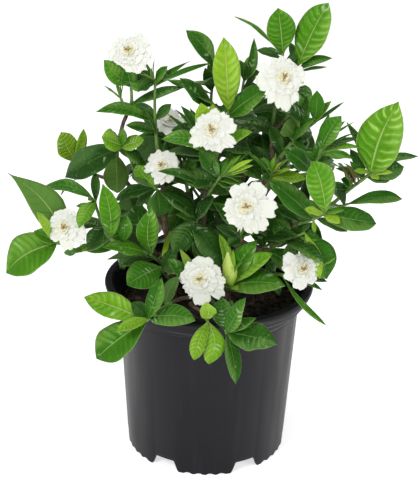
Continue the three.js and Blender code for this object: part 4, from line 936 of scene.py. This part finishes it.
def grow_wood(bm, stem):
    """The bark-covered part of one stem, with old leaf joints, and flared where it leaves the soil."""

    def swelling(place):
        centre = stem.point(place)
        joint = max(0, math.cos(FULL_TURN * place * OLD_JOINTS_PER_PLACE)) ** 8
        flare = max(0, 1 - abs(centre.z - SOIL_TOP) / ROOT_FLARE_HEIGHT) if stem.trunk is stem else 0
        return 1 + 0.14 * joint + 0.1 * noise.noise(centre * 90) + 0.35 * flare

    rings = rings_along(stem, 0, stem.wood, WOOD_RINGS_PER_PLACE, swelling)
    for corner in sweep(bm, rings, WOOD_SIDES):
        corner.co += Vector((1, 1, 0)) * noise.noise(corner.co * 240) * BARK_RELIEF


bark_material = bark()
for trunk in [stem for stem in STEMS.values() if stem.trunk is stem]:
    wood = bmesh.new()
    for stem in STEMS.values():
        if stem.trunk is trunk and stem.wood > 0:
            grow_wood(wood, stem)
    bmesh.ops.recalc_face_normals(wood, faces=wood.faces)
    place_piece("woody_" + trunk.name, wood, [bark_material], "stem_" + trunk.name)


# Leafy shoots
# Soft green shoots grow from the ends of the wood. Their glossy leaves are elliptic, pointed and
# waved at the edge, with a pale midrib and curved side veins: lime when young, dark when old.
# Spent flowers have left five slim sepals on the ends of some shoots.

ROOT_HALF_WIDTH = 1 * MM
ARCH = 0.1
YOUNG_ARCH = 0.07
FOLD = 0.05
WAVE = 0.06
FACET_WIDTH = 1.1
BIG_LEAF_OUTLINE = [(0.14, 0.36), (0.3, 0.78), (0.5, 1), (0.7, 0.9), (0.87, 0.52)]
LEAF_OUTLINE = [(0.28, 0.68), (0.57, 1), (0.83, 0.6)]
SMALL_LEAF_OUTLINE = [(0.36, 0.9), (0.74, 0.8)]
BIG_LEAF_WIDTH = 30
SMALL_LEAF_WIDTH = 17
LEAF_STEP = 2.4 * MM
PAIR_WIDTH = 0.46
PAIR_SEED = 20261
FORWARD_LIGHT = Vector((0, -0.55, 0.83))

# Leaves of the inner shoots without a solid still grow in the thick of the plant: in the picture,
# inside this oval. Three leaves of pairs are slimmer than by rule.
THICKET_MIDDLE = (222, 180)
THICKET_REACH = (100, 82)
SLIMMER = {("inner_right", 9): 0.4, ("inner_top", 8): 0.55, ("back_low_right", 5): 0.6}

# A leaf's solid may have been bent clear of its neighbours: its tip moved towards the eye in mm,
# and the blade rolled about its midrib in degrees, by one of these.
BENDS = [
    (0, 0), (0, 18), (0, -18), (7, 8), (-7, -8), (13, 0), (-13, 0), (9, 34), (-9, -34), (20, 12),
    (-20, -12), (0, 45), (0, -45), (28, 0), (-28, 0), (20, 50), (-20, -50), (38, 20), (-38, -20),
]
MATCH_DISTANCE = 0.25 * MM
LEAST_MATCH = 0.6

YOUNG_TINT = 0.58
STREAKED_AGE = 0.6
STREAKS = 0.12
LEAF_THICKNESS = 0.45 * MM
BIG_LEAF_GRID = (18, 8)
LEAF_GRID = (12, 6)
FINE_LEAF_GRID = (10, 4)
SEPAL_GRID = (6, 2)
SHOOT_SIDES = 8
SHOOT_RINGS_PER_PLACE = 5
JOINTS_PER_PLACE = 2
END_SWELLING = 1.35
SEPAL_COUNT = 5
SEPAL_LENGTH = 26 * MM
SEPAL_WIDTH = 3.4 * MM
SEPAL_LEAN = 0.5

FACE_COLOURS = [
    (0.1, (0.019, 0.07, 0.008)), (0.45, (0.032, 0.15, 0.006)),
    (0.75, (0.095, 0.3, 0.01)), (1, (0.36, 0.58, 0.03)),
]
UNDERSIDE_COLOURS = [
    (0.1, (0.055, 0.12, 0.035)), (0.45, (0.1, 0.2, 0.05)),
    (0.7, (0.15, 0.3, 0.055)), (1, (0.34, 0.5, 0.07)),
]


def leaf_skin(name, gloss, rough, depth, under=False):
    """The upper or under skin of a leaf. Its "leaf" colour holds its tint, a tone of its own, how far out
    from the stem a point is, and how streaked the leaf is: how strongly its painted highlight streaks and
    its quilting show."""
    skin = Skin(name)
    traits = skin.add("Attribute", "Color", attribute_name="leaf")
    age, tone, out = (traits.part(channel) for channel in ("Red", "Green", "Blue"))
    streaked = skin.add("Attribute", "Alpha", attribute_name="leaf")
    side = skin.add("SeparateXYZ", "Y", {"Vector": skin.add("TexCoord", "UV")})
    across = (side - 0.5).reckon("ABSOLUTE") * 2
    midrib = (across / ((1 - out) ** 2 * 0.05 + 0.03)).curve(1.2, 0.5)
    between = (out * 9 - across**1.5 * 1.15 + skin.noise(55, 1) * 1.1).reckon("PINGPONG", 0.5)
    veins = between.curve(0.1, 0.02) * across.curve(1.0, 0.55, 0.2, 1)
    cloud = skin.noise(38, 3)
    colour = skin.ramp(age + (cloud - 0.5) * 0.24, *(UNDERSIDE_COLOURS if under else FACE_COLOURS))
    colour = skin.blend(tone, skin.blend(1.0, colour, (0.62, 0.72, 0.62), "MULTIPLY"), colour)
    # Painted shade in the sunken vein furrows.
    painted_furrow_shade = skin.blend(1.0, colour, (0.55, 0.68, 0.5), "MULTIPLY")
    colour = skin.blend(veins * 0.16, colour, painted_furrow_shade)
    if not under:
        # Painted sheen: pale patches on one side of the upper face, strongest on the ridges between the
        # veins.
        sheen_patch = (side + skin.noise(26, 2) * 1.6).curve(1.36, 1.7)
        ridge = skin.add("Mix", 0, {0: between.curve(0.06, 0.4), 2: age.curve(0, 1, 0.9, 0.6), 3: 1.0})
        painted_sheen = skin.blend(age, (0.13, 0.28, 0.08), (0.46, 0.76, 0.12))
        colour = skin.blend(sheen_patch * ridge * 0.32, colour, painted_sheen)
        # Painted highlight arcs along the ridges between the veins of streaked leaves.
        highlight_arcs = between.curve(0.26, 0.49) * across.curve(0.08, 0.25) * across.curve(0.98, 0.8)
        highlight_arcs = highlight_arcs * cloud.curve(0.4, 0.6, 0.25, 1) * streaked * 0.6
        colour = skin.blend(highlight_arcs, colour, (0.52, 0.8, 0.2))
        glint = skin.noise(75, 1).curve(0.6, 0.74) * between.curve(0.16, 0.42) * 0.45
        colour = skin.blend(glint, colour, (0.5, 0.68, 0.4))
    withered = age.curve(0.0, -0.2)
    colour = skin.blend(withered, colour, (0.2, 0.085, 0.03))
    # Painted rim light: the edge of the blade paler, more so on young leaves.
    rim = skin.blend(age, (0.12, 0.2, 0.08), (0.5, 0.62, 0.24))
    colour = skin.blend(across.curve(0.92, 0.98, 0, 0.55), colour, rim)
    pale = skin.blend(age, (0.13, 0.26, 0.09), (0.6, 0.72, 0.24))
    line = midrib * age.curve(0.0, 1.0, 0.35, 1.0) * (0.8 if under else 0.75)
    colour = skin.blend(line, colour, pale)
    net = skin.cells(420, "Distance", feature="DISTANCE_TO_EDGE").curve(0.12, 0.0)
    relief = between.curve(0.0, 0.4) * streaked.curve(0, 1, 0.2, 0.45)
    relief += midrib.reckon("MAXIMUM", veins * 0.55) * (0.9 if under else -0.5)
    relief += net * -0.12 + cloud * 1.6
    shine = {"Specular IOR Level": gloss, "Specular Tint": (0.45, 1.0, 0.25)}
    return skin.finish(colour, cloud.curve(0.3, 0.7, *rough), (relief, 0.8, depth), shine)


def shoot_skin():
    skin = Skin("green_shoot")
    streaks = skin.noise(260, 3, (1, 1, 0.3))
    colour = skin.ramp(
        streaks, (0.3, (0.05, 0.13, 0.02)), (0.6, (0.15, 0.28, 0.045)), (0.8, (0.24, 0.3, 0.09)),
    )
    return skin.finish(colour, 0.45, (streaks, 0.3, 0.5 * MM))


def off_axis(stem, place, tip):
    """Where a leaf joins its stem: off the middle, to the side that the leaf points to."""
    along = stem.tangent(place)
    outward = tip - stem.point(place)
    outward = (outward - along * outward.dot(along)).normalized()
    return stem.point(place) + outward * stem.radius(place) * 0.4


def listed_leaves(stem, rows):
    """The leaves of some rows. Those that share a place on the stem are set one below another."""
    used = {}
    leaves = []
    for place, x, y, out, width, roll, age, *habit in rows:
        rank = used.get(place, 0)
        used[place] = rank + 1
        segment = (stem.point(place - 0.5) - stem.point(place)).length * 2
        tip = sight(x, y, out)
        outline = LEAF_OUTLINE if width > SMALL_LEAF_WIDTH else SMALL_LEAF_OUTLINE
        traits = zip(TRAITS, habit[0] if habit else ())
        leaves.append(dict(
            root=off_axis(stem, place - rank * LEAF_STEP / segment, tip), tip=tip, width=width * MM,
            roll=roll, age=age, light=FORWARD_LIGHT, facet=FACET_WIDTH,
            outline=BIG_LEAF_OUTLINE if width > BIG_LEAF_WIDTH else outline,
            habit={trait: value for trait, value in traits if value is not None},
        ))
    return leaves


def seeded(state):
    """Numbers from 0 to 1, the same on every run."""
    while True:
        state = (state * 1664525 + 1013904223) % 4294967296
        yield state / 4294967296


def paired_leaves(stem, chance):
    """Opposite pairs of leaves, each pair a quarter turn from the one below."""
    leaves = []
    for k in range(stem.pairs):
        place = stem.wood + 0.2 + (stem.last - stem.wood - 0.3) * (k + 0.5) / stem.pairs
        along = stem.tangent(place)
        across = along.cross(SIDE_HINT).normalized()
        for half in range(2):
            turn = math.pi * half + math.pi / 2 * k + (next(chance) - 0.5) * 0.7
            length = stem.size * (0.85 + 0.3 * next(chance)) * MM
            outward = Quaternion(along, turn) @ across
            tip = stem.point(place) + outward * length * 0.9
            tip += along * length * (0.3 + 0.25 * next(chance)) - UP * length * 0.15
            root = off_axis(stem, place, tip)
            leaves.append(dict(
                root=root, tip=tip, width=length * PAIR_WIDTH, roll=0, age=DARK + 0.4 * next(chance),
                light=FORWARD_LIGHT if stem.fills else Vector((root.x * 4, root.y * 4, 1)),
                outline=SMALL_LEAF_OUTLINE, facet=1.0,
            ))
    return leaves


def in_thicket(point):
    offset = point - EYE
    depth = offset.dot(EYE_FORWARD)
    x = PICTURE_WIDTH / 2 + FOCAL_PIXELS * offset.dot(EYE_RIGHT) / depth
    y = PICTURE_HEIGHT / 2 - FOCAL_PIXELS * offset.dot(EYE_UP) / depth
    away_x = (x - THICKET_MIDDLE[0]) / THICKET_REACH[0]
    away_y = (y - THICKET_MIDDLE[1]) / THICKET_REACH[1]
    return math.hypot(away_x, away_y) < 1


def blade_frame(leaf, tip, roll):
    """The directions along a blade, out of its face and across it, and its length."""
    along = (tip - leaf["root"]).normalized()
    light = leaf["light"]
    normal = (light - along * light.dot(along)).normalized()
    normal = Quaternion(along, math.radians(roll)) @ normal
    return along, normal, along.cross(normal), (tip - leaf["root"]).length


def facet_corners(leaf, tip, roll):
    """The tip and edge corners that the leaf's solid has with this bend."""
    along, normal, side, length = blade_frame(leaf, tip, roll)
    arch = (ARCH - YOUNG_ARCH * leaf["age"]) * length
    width = leaf["width"] * leaf["facet"]
    corners = [tip]
    for k, (place, share) in enumerate(leaf["outline"]):
        half = width / 2 * share
        wave = WAVE * width * (-0.5 if k % 2 else 0.5)
        middle = leaf["root"] + along * length * place + normal * arch * math.sin(math.pi * place)
        middle += normal * (half * FOLD + wave)
        corners += [middle - side * half, middle + side * half]
    return corners


def settled(leaf, tree):
    """How the leaf's solid was bent, as (tip, roll), or None if it has no solid."""
    best = (0, None)
    to_eye = (EYE - leaf["tip"]).normalized()
    for shift, roll in BENDS:
        bend = (leaf["tip"] + to_eye * shift * MM, leaf["roll"] + roll)
        if tree.find(bend[0])[2] > MATCH_DISTANCE:
            continue
        corners = facet_corners(leaf, *bend)
        share = sum(tree.find(corner)[2] < MATCH_DISTANCE for corner in corners) / len(corners)
        if share > best[0]:
            best = (share, bend)
    return best[1] if best[0] >= LEAST_MATCH else None


def grow_leaf(bm, leaf, tip, roll, draw, grid):
    """One blade: a grid bent to an arched, folded, waved leaf that is drawn out to a short tip."""
    along, normal, side, length = blade_frame(leaf, tip, roll)
    kinds = bm.verts.layers.float_color["leaf"]
    age = leaf["age"]
    tone = draw.random()
    habit = dict(
        bow=draw.uniform(-0.05, 0.05), belly=draw.uniform(0.95, 1.3), fullness=0.78 - 0.1 * age, wide=1,
        fold=draw.uniform(0.08, 0.3), ripple=draw.uniform(0.03, 0.09), ripples=draw.uniform(1.6, 2.8),
        twist=draw.uniform(-0.35, 0.35), droop=draw.uniform(0, 0.06), tint=age + draw.uniform(-0.06, 0.12),
        streaks=STREAKS if age > STREAKED_AGE else 0,
    )
    habit.update(leaf.get("habit", {}))
    arch = (ARCH - YOUNG_ARCH * age) * length
    phases = (draw.uniform(0, 6.3), draw.uniform(0, 6.3))
    rows, columns = grid
    made = bmesh.ops.create_grid(bm, x_segments=rows, y_segments=columns, size=1, calc_uvs=True)["verts"]
    for corner in made:
        t = (corner.co.x + 1) / 2
        u = 0.4 * t + 0.3 * (1 - math.cos(math.pi * t))
        v = corner.co.y
        edge = abs(v)
        drawn_out = habit["fullness"] + 0.3 * max(0, (u - 0.82) / 0.18) ** 1.5
        shape = math.sin(math.pi * min(u, 0.999) ** habit["belly"]) ** drawn_out
        half = max(leaf["width"] * 0.54 * habit["wide"] * shape, ROOT_HALF_WIDTH * (1 - 0.8 * u))
        wave = math.sin(FULL_TURN * habit["ripples"] * u + phases[0 if v > 0 else 1])
        lift = half * habit["fold"] * (edge - 0.6 * edge**3)
        lift += leaf["width"] * habit["ripple"] * edge**2 * shape * wave
        aside = v * half + habit["bow"] * length * math.sin(math.pi * u)
        rise = arch * math.sin(math.pi * u) - habit["droop"] * length * max(0, (u - 0.65) / 0.35) ** 2
        turn = habit["twist"] * (u - 0.4)
        corner.co = leaf["root"] + along * length * u + normal * rise
        corner.co += (side * math.cos(turn) + normal * math.sin(turn)) * aside
        corner.co += (normal * math.cos(turn) - side * math.sin(turn)) * lift
        corner[kinds] = (habit["tint"], tone, u, habit["streaks"])
        for face in corner.link_faces:
            face.material_index = 1 if habit["tint"] > YOUNG_TINT else 0


def grow_sepals(bm, stem):
    """The slim sepals round the end of a shoot."""
    draw = random.Random(stem.name)
    side = stem.axis.cross(SIDE_HINT).normalized()
    root = stem.point(stem.last) - stem.tangent(stem.last) * MM
    sepal = dict(root=root, width=SEPAL_WIDTH, age=BRIGHT, light=stem.axis)
    for k in range(SEPAL_COUNT):
        outward = Quaternion(stem.axis, FULL_TURN * k / SEPAL_COUNT) @ side
        tip = root + stem.axis * SEPAL_LENGTH * 0.8 + outward * SEPAL_LENGTH * SEPAL_LEAN
        grow_leaf(bm, sepal, tip, 0, draw, SEPAL_GRID)


def grow_shoot(bm, stem):
    """The green part of one stem, with its leaf joints, and thicker under a flower."""

    def swelling(place):
        return 1 + 0.12 * max(0, math.cos(FULL_TURN * place * JOINTS_PER_PLACE)) ** 6

    rings = rings_along(stem, stem.wood, stem.last, SHOOT_RINGS_PER_PLACE, swelling)
    if stem.end:
        rings[-1] = ring_at(stem.point(stem.last), stem.axis, stem.radius(stem.last) * END_SWELLING)
    sweep(bm, rings, SHOOT_SIDES)


def build_foliage(members, tree):
    """The leaves and green stems of one shoot, fused in one body."""
    bm = bmesh.new()
    bm.verts.layers.float_color.new("leaf")
    bm.loops.layers.uv.new("UVMap")
    for stem in members:
        for k, leaf in enumerate(leaves_of[stem.name]):
            bend = settled(leaf, tree)
            if k < len(stem.leaves) or stem.fills and in_thicket(leaf["tip"]):
                bend = bend or (leaf["tip"], leaf["roll"])
            if (stem.name, k) in SLIMMER:
                leaf["habit"] = {"wide": SLIMMER[stem.name, k]}
            if bend:
                grid = BIG_LEAF_GRID if leaf["width"] > BIG_LEAF_WIDTH * MM else LEAF_GRID
                grow_leaf(bm, leaf, *bend, random.Random(f"{stem.name} {k}"), grid)
        fine_rows = [(*row[:5], 0, row[5]) for row in stem.fine]
        for k, leaf in enumerate(listed_leaves(stem, fine_rows)):
            grow_leaf(bm, leaf, leaf["tip"], 0, random.Random(f"fine {stem.name} {k}"), FINE_LEAF_GRID)
        if stem.end == "calyx":
            grow_sepals(bm, stem)
    undersides = bm.faces[:]
    bmesh.ops.solidify(bm, geom=undersides, thickness=LEAF_THICKNESS)
    for face in undersides:
        face.material_index = 2
    blades = set(bm.faces)
    for stem in members:
        grow_shoot(bm, stem)
    for face in set(bm.faces) - blades:
        face.material_index = 3
    return bm


leaf_materials = [
    leaf_skin("leaf_face", 0.42, (0.18, 0.38), 1.2 * MM),
    leaf_skin("young_leaf_face", 0.3, (0.2, 0.36), 1.8 * MM),
    leaf_skin("leaf_underside", 0.15, (0.5, 0.62), 1 * MM, under=True),
    shoot_skin(),
]
chance = seeded(PAIR_SEED)
leaves_of = {}
for stem in STEMS.values():
    leaves_of[stem.name] = listed_leaves(stem, stem.leaves) + paired_leaves(stem, chance)

for shoot in [stem for stem in STEMS.values() if stem.shoot is stem]:
    node = "shoot_" + shoot.name
    solid_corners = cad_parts[node].data.vertices
    tree = KDTree(len(solid_corners))
    for i, corner in enumerate(solid_corners):
        tree.insert(corner.co, i)
    tree.balance()
    members = [stem for stem in STEMS.values() if stem.shoot is shoot]
    place_piece("leafy_" + shoot.name, build_foliage(members, tree), leaf_materials, node)


# Blooms
# Nine double white flowers, each a slim corolla tube that opens into overlapping layers of waxy,
# ruffled petals round a furled creamy heart, with a few brown-tipped stamens.

PETAL_THICKNESS = 0.35 * MM
TUBE_SIDES = 16
TUBE_RINGS = [(-13, 1.8), (-10, 1.9), (-6, 2.3), (-3, 3.2), (-1, 4.4)]
# The outer petals of each bloom as the picture shows them: the way that each points, in degrees
# counter-clockwise from the right, its reach and its half width, in mm
OUTER_PETALS = {
    "middle_flower": [(108, 27, 11), (56, 31, 10), (28, 28, 8), (356, 35, 10), (312, 33, 10),
        (284, 29, 8), (257, 28, 3), (233, 25, 9), (190, 25, 7), (170, 23, 7), (140, 17, 7)],
    "crown_flower": [(157, 33, 6), (196, 31, 10), (112, 26, 9), (76, 23, 8), (54, 22, 7), (12, 24, 10),
        (333, 22, 7), (298, 30, 8), (264, 37, 9), (234, 33, 6)],
    "crown_left": [(62, 25, 6), (98, 18, 11), (150, 21, 7), (183, 24, 8), (215, 21, 7), (245, 18, 7),
        (275, 24, 8), (303, 27, 8), (335, 25, 8), (5, 26, 9), (35, 24, 9)],
    "left_flower": [(76, 21, 8), (108, 20, 8), (145, 18, 8), (182, 18, 8), (228, 20, 6), (276, 26, 8),
        (318, 28, 6), (340, 26, 8), (8, 23, 7), (40, 18, 7)],
    "front_flower": [(84, 25, 12), (118, 23, 8), (148, 22, 9), (174, 23, 7), (203, 19, 7), (222, 22, 6),
        (240, 24, 3), (275, 29, 10), (322, 32, 7), (345, 29, 8), (28, 25, 8)],
    "centre_flower": [(66, 25, 9), (38, 25, 7), (16, 28, 9), (332, 31, 6), (303, 26, 10), (272, 23, 9),
        (246, 22, 7), (220, 27, 7), (184, 23, 8), (150, 18, 8), (115, 17, 8), (92, 19, 6)],
    "inner_flower": [(128, 20, 9), (95, 16, 7), (62, 17, 9), (30, 17, 7), (358, 18, 8), (300, 20, 6),
        (250, 22, 7), (215, 15, 7), (180, 22, 6)],
    "right_flower": [(140, 26, 7), (163, 23, 7), (195, 23, 8), (222, 20, 7), (262, 23, 8), (312, 20, 6),
        (338, 18, 7), (8, 19, 6), (55, 18, 9), (95, 18, 9)],
    "back_flower": [(turn, 17, 8) for turn in range(15, 375, 60)],
}
# A layer's form: hub radius and height in mm, then rise, cup and curl as shares of the bloom's
# reach. The inner layers are given as count, turn, then reach and half width as such shares, form.
OUTER_FORM = (3.6, -1, 0, 0.02, -0.03)
PETAL_LAYERS = [
    (6, 0.5, 0.7, 0.34, (3.4, -0.2, 0.03, 0.02, -0.06)),
    (5, 0.2, 0.46, 0.27, (2.6, 0.6, 0.05, 0.04, -0.05)),
    (4, 0.6, 0.27, 0.17, (1.6, 1.6, 0.08, 0.14, -0.02)),
    (3, 0.1, 0.17, 0.12, (0.2, 2.6, 0.12, 0.2, -0.02)),
]
HEART_REACH = 0.35
PETAL_ROWS = 9
PETAL_COLUMNS = 12
STAMEN_COUNT = 5
STAMEN_SIDES = 5
STAMEN_FOOT = 5.5 * MM
STAMEN_RADII = (0.6 * MM, 0.5 * MM)


def petal_skin():
    """White petals. Their "petal" colour holds how far along a point is, a tone of its own, and
    whether the petal is one of the heart."""
    skin = Skin("waxy_white_petal")
    kind = skin.add("Attribute", "Color", attribute_name="petal")
    out, tone, heart = (kind.part(channel) for channel in ("Red", "Green", "Blue"))
    veins = skin.noise(1, 2, (2, 34, 1), skin.add("TexCoord", "UV"))
    colour = skin.blend(tone, (0.85, 0.87, 0.75), (0.91, 0.92, 0.83))
    colour = skin.blend(veins.curve(0.5, 0.75, 0, 0.35), colour, (0.8, 0.8, 0.74))
    colour = skin.blend(out.curve(0.5, 0.0) * 0.6, colour, (0.82, 0.83, 0.58))
    colour = skin.blend(heart * 0.6, colour, (0.9, 0.83, 0.5))
    bruise = skin.noise(90, 3).curve(0.62, 0.75) * 0.12
    return skin.finish(skin.blend(bruise, colour, (0.6, 0.5, 0.33)), 0.55, (veins, 0.25, 0.6 * MM), {
        "Specular IOR Level": 0.35, "Subsurface Weight": 0.25,
        "Subsurface Radius": (1.0, 0.95, 0.8), "Subsurface Scale": 3 * MM,
    })


def speckled_skin(name, scale, first, second, rough):
    skin = Skin(name)
    return skin.finish(skin.ramp(skin.noise(scale, 2), first, second), rough)


def grow_petal(bm, bloom, outward, far, widest, form, heart, draw):
    """One petal: a grid made into a cupped, ruffled sheet with a rounded, notched end."""
    centre, face, reach = bloom
    hub, height, rise, cup, curl = form
    kinds = bm.verts.layers.float_color["petal"]
    across = face.cross(outward)
    tone = draw.random()
    hub *= MM
    rise = reach * (rise + draw.uniform(-0.03, 0.03))
    curl = reach * (curl + draw.uniform(-0.05, 0.06))
    notch = draw.uniform(0.0, 0.16)
    notch_at = draw.uniform(-0.5, 0.5)
    ruffle = reach * draw.uniform(0.02, 0.06)
    ruffles = draw.uniform(1.4, 3.2)
    phase = draw.uniform(0, 6.3)
    sway = draw.uniform(-0.08, 0.08)
    grid = dict(x_segments=PETAL_ROWS, y_segments=PETAL_COLUMNS, size=1, calc_uvs=True)
    for corner in bmesh.ops.create_grid(bm, **grid)["verts"]:
        u = (corner.co.x + 1) / 2
        v = corner.co.y
        pulled = 1 - 0.2 * abs(v) ** 4 - notch * math.exp(-(((v - notch_at) / 0.28) ** 2)) * u**4
        pulled += u**4 * (0.03 * math.sin(6 * v + phase) + 0.02 * math.sin(13 * v - phase))
        out = hub + (far - hub) * u * pulled
        half = widest * (0.26 + 0.74 * math.sin(math.pi / 2 * min(1, u * 1.35)))
        lift = height * MM + rise * math.sin(math.pi / 2 * u) + curl * u**3
        lift += cup * widest * v**2 * (1 - 0.3 * u)
        lift += ruffle * u**2 * math.sin(ruffles * math.pi * v + phase) * (0.4 + 0.6 * abs(v))
        aside = v * half + sway * reach * u**2
        corner.co = centre + face * lift + outward * out + across * aside
        corner[kinds] = (u, tone, heart, 1)


def build_bloom(stem):
    draw = random.Random(stem.name)
    bloom = (stem.head, stem.axis, stem.across / 2)
    centre, face, reach = bloom
    side = face.cross(UP).normalized()
    bm = bmesh.new()
    bm.verts.layers.float_color.new("petal")
    bm.loops.layers.uv.new("UVMap")
    for turn, far, half in OUTER_PETALS[stem.name]:
        seen = EYE_RIGHT * math.cos(math.radians(turn)) + EYE_UP * math.sin(math.radians(turn))
        outward = seen - EYE_FORWARD * (seen.dot(face) / EYE_FORWARD.dot(face))
        far *= outward.length * MM
        grow_petal(bm, bloom, outward.normalized(), far, half * MM, OUTER_FORM, 0, draw)
    for count, turn, share, width, form in PETAL_LAYERS:
        for k in range(count):
            outward = Quaternion(face, FULL_TURN * (k + turn + draw.uniform(-0.12, 0.12)) / count) @ side
            far = reach * share * draw.uniform(0.85, 1.06)
            half = reach * width * draw.uniform(0.85, 1.1)
            grow_petal(bm, bloom, outward, far, half, form, 1 if share < HEART_REACH else 0, draw)
    bmesh.ops.solidify(bm, geom=bm.faces[:], thickness=PETAL_THICKNESS)
    petals = set(bm.faces)
    rings = [ring_at(centre + face * up * MM, face, radius * MM) for up, radius in TUBE_RINGS]
    sweep(bm, rings, TUBE_SIDES)
    tube = set(bm.faces) - petals
    for k in range(STAMEN_COUNT):
        outward = Quaternion(face, FULL_TURN * (k + draw.random()) / STAMEN_COUNT) @ side
        foot = centre + face * STAMEN_FOOT + outward * STAMEN_RADII[0]
        end = centre + face * draw.uniform(6.5, 7.5) * MM + outward * draw.uniform(2.2, 5.5) * MM
        along = (end - foot).normalized()
        rings = [ring_at(spot, along, radius) for spot, radius in zip((foot, end), STAMEN_RADII)]
        sweep(bm, rings, STAMEN_SIDES)
    for part in bm.faces:
        part.material_index = 0 if part in petals else 1 if part in tube else 2
    return bm


bloom_materials = [
    petal_skin(),
    speckled_skin("corolla_tube", 300, (0.3, (0.3, 0.42, 0.12)), (0.7, (0.62, 0.68, 0.36)), 0.5),
    speckled_skin("brown_stamen", 900, (0.35, (0.2, 0.12, 0.02)), (0.65, (0.45, 0.3, 0.07)), 0.8),
]
for stem in STEMS.values():
    if stem.end == "bloom":
        flower = build_bloom(stem)
        place_piece("flower_" + stem.name, flower, bloom_materials, "bloom_" + stem.name)


# Bud
# One fat unopened flower, its pale petals furled round each other in a spiral, green at the base
# and lime towards the tip.

BUD_OUTLINE = [
    (0, 2.2), (2, 3.2), (5, 5), (9, 6.6), (13, 7.6), (18, 8.1), (23, 7.9), (28, 6.8), (33, 5.2), (38, 3.5),
    (42, 2), (44.6, 1), (45.6, 0.4),
]
BUD_LENGTH = BUD_OUTLINE[-1][0]
BUD_SIDES = 40
BUD_FOLDS = 3
BUD_TWIST = 0.04


def furled_bud_skin():
    skin = Skin("furled_bud")
    kind = skin.add("Attribute", "Color", attribute_name="bud")
    cloud = skin.noise(120, 3)
    colour = skin.ramp(
        kind.part("Red"), (0.0, (0.13, 0.3, 0.02)), (0.2, (0.26, 0.47, 0.03)),
        (0.5, (0.5, 0.66, 0.09)), (1, (0.55, 0.66, 0.17)),
    )
    # Painted shade in the crease where each furled petal's edge laps over the next.
    colour = skin.blend(kind.part("Green").curve(0.3, 0.0, 0, 0.7), colour, (0.16, 0.33, 0.03))
    colour = skin.blend(cloud.curve(0.4, 0.7, 0, 0.3), colour, (0.62, 0.74, 0.22))
    return skin.finish(colour, 0.42, (cloud, 0.2, 0.8 * MM))


def build_bud(stem):
    axis = stem.axis
    start = stem.point(stem.last)
    bm = bmesh.new()
    kinds = bm.verts.layers.float_color.new("bud")
    rings = [ring_at(start + axis * height * MM, axis, radius * MM) for height, radius in BUD_OUTLINE]
    for corner in sweep(bm, rings, BUD_SIDES):
        height = (corner.co - start).dot(axis)
        middle = start + axis * height
        spot = ring_at(middle, axis, 1).inverted() @ corner.co
        fold = (math.atan2(spot.y, spot.x) * BUD_FOLDS / FULL_TURN - height / MM * BUD_TWIST) % 1
        corner.co = middle + (corner.co - middle) * (0.88 + 0.24 * fold)
        corner[kinds] = (height / (BUD_LENGTH * MM), fold, 0, 1)
    bmesh.ops.recalc_face_normals(bm, faces=bm.faces)
    return bm


place_piece("furled_bud", build_bud(STEMS["trunk_front"]), [furled_bud_skin()], "bud")


# Floor, light and eye
# A plain pale studio floor that fades into a white surround, three soft square lamps, and the eye
# that looks down on the plant as the picture does.

FLOOR_SIZE = 60
SURROUND = 0.35
LAMP_SIZE = 0.8
SENSOR_WIDTH = 36
LENS = FOCAL_PIXELS / PICTURE_HEIGHT * SENSOR_WIDTH

floor_shape = bmesh.new()
bmesh.ops.create_grid(floor_shape, x_segments=1, y_segments=1, size=FLOOR_SIZE / 2)
floor_mesh = bpy.data.meshes.new("studio_floor")
floor_shape.to_mesh(floor_mesh)
floor_shape.free()
floor_mesh.materials.append(Skin("studio_floor").finish((0.9, 0.9, 0.9), 0.9, None, {
    "Emission Color": (1, 1, 1), "Emission Strength": 0.65, "Specular IOR Level": 0.0,
}))
floor = bpy.data.objects.new("studio_floor", floor_mesh)
bpy.context.scene.collection.objects.link(floor)

world = bpy.data.worlds.new("studio_surround")
world.use_nodes = True
world.node_tree.nodes["Background"].inputs["Color"].default_value = (1, 1, 1, 1)
world.node_tree.nodes["Background"].inputs["Strength"].default_value = SURROUND
bpy.context.scene.world = world


def soft_lamp(name, place, aim_height, power):
    data = bpy.data.lights.new(name, "AREA")
    data.shape = "SQUARE"
    data.size = LAMP_SIZE
    data.energy = power
    lamp = bpy.data.objects.new(name, data)
    lamp.location = place
    lamp.rotation_euler = (UP * aim_height - Vector(place)).to_track_quat("-Z", "Y").to_euler()
    bpy.context.scene.collection.objects.link(lamp)


soft_lamp("key_lamp", (-1.2, -1.6, 1.9), 0.35, 27)
soft_lamp("fill_lamp", (1.7, -1.2, 1.2), 0.3, 10)
soft_lamp("top_lamp", (0.2, 0.3, 2.2), 0.3, 12)

eye_data = bpy.data.cameras.new("picture_eye")
eye_data.sensor_width = SENSOR_WIDTH
eye_data.lens = LENS
eye_data.clip_end = 100
eye = bpy.data.objects.new("picture_eye", eye_data)
axes = Matrix((EYE_RIGHT, EYE_UP, -EYE_FORWARD)).transposed()
eye.matrix_world = Matrix.Translation(EYE) @ axes.to_4x4()
bpy.context.scene.collection.objects.link(eye)
bpy.context.scene.camera = eye
bpy.context.scene.view_settings.view_transform = "Standard"
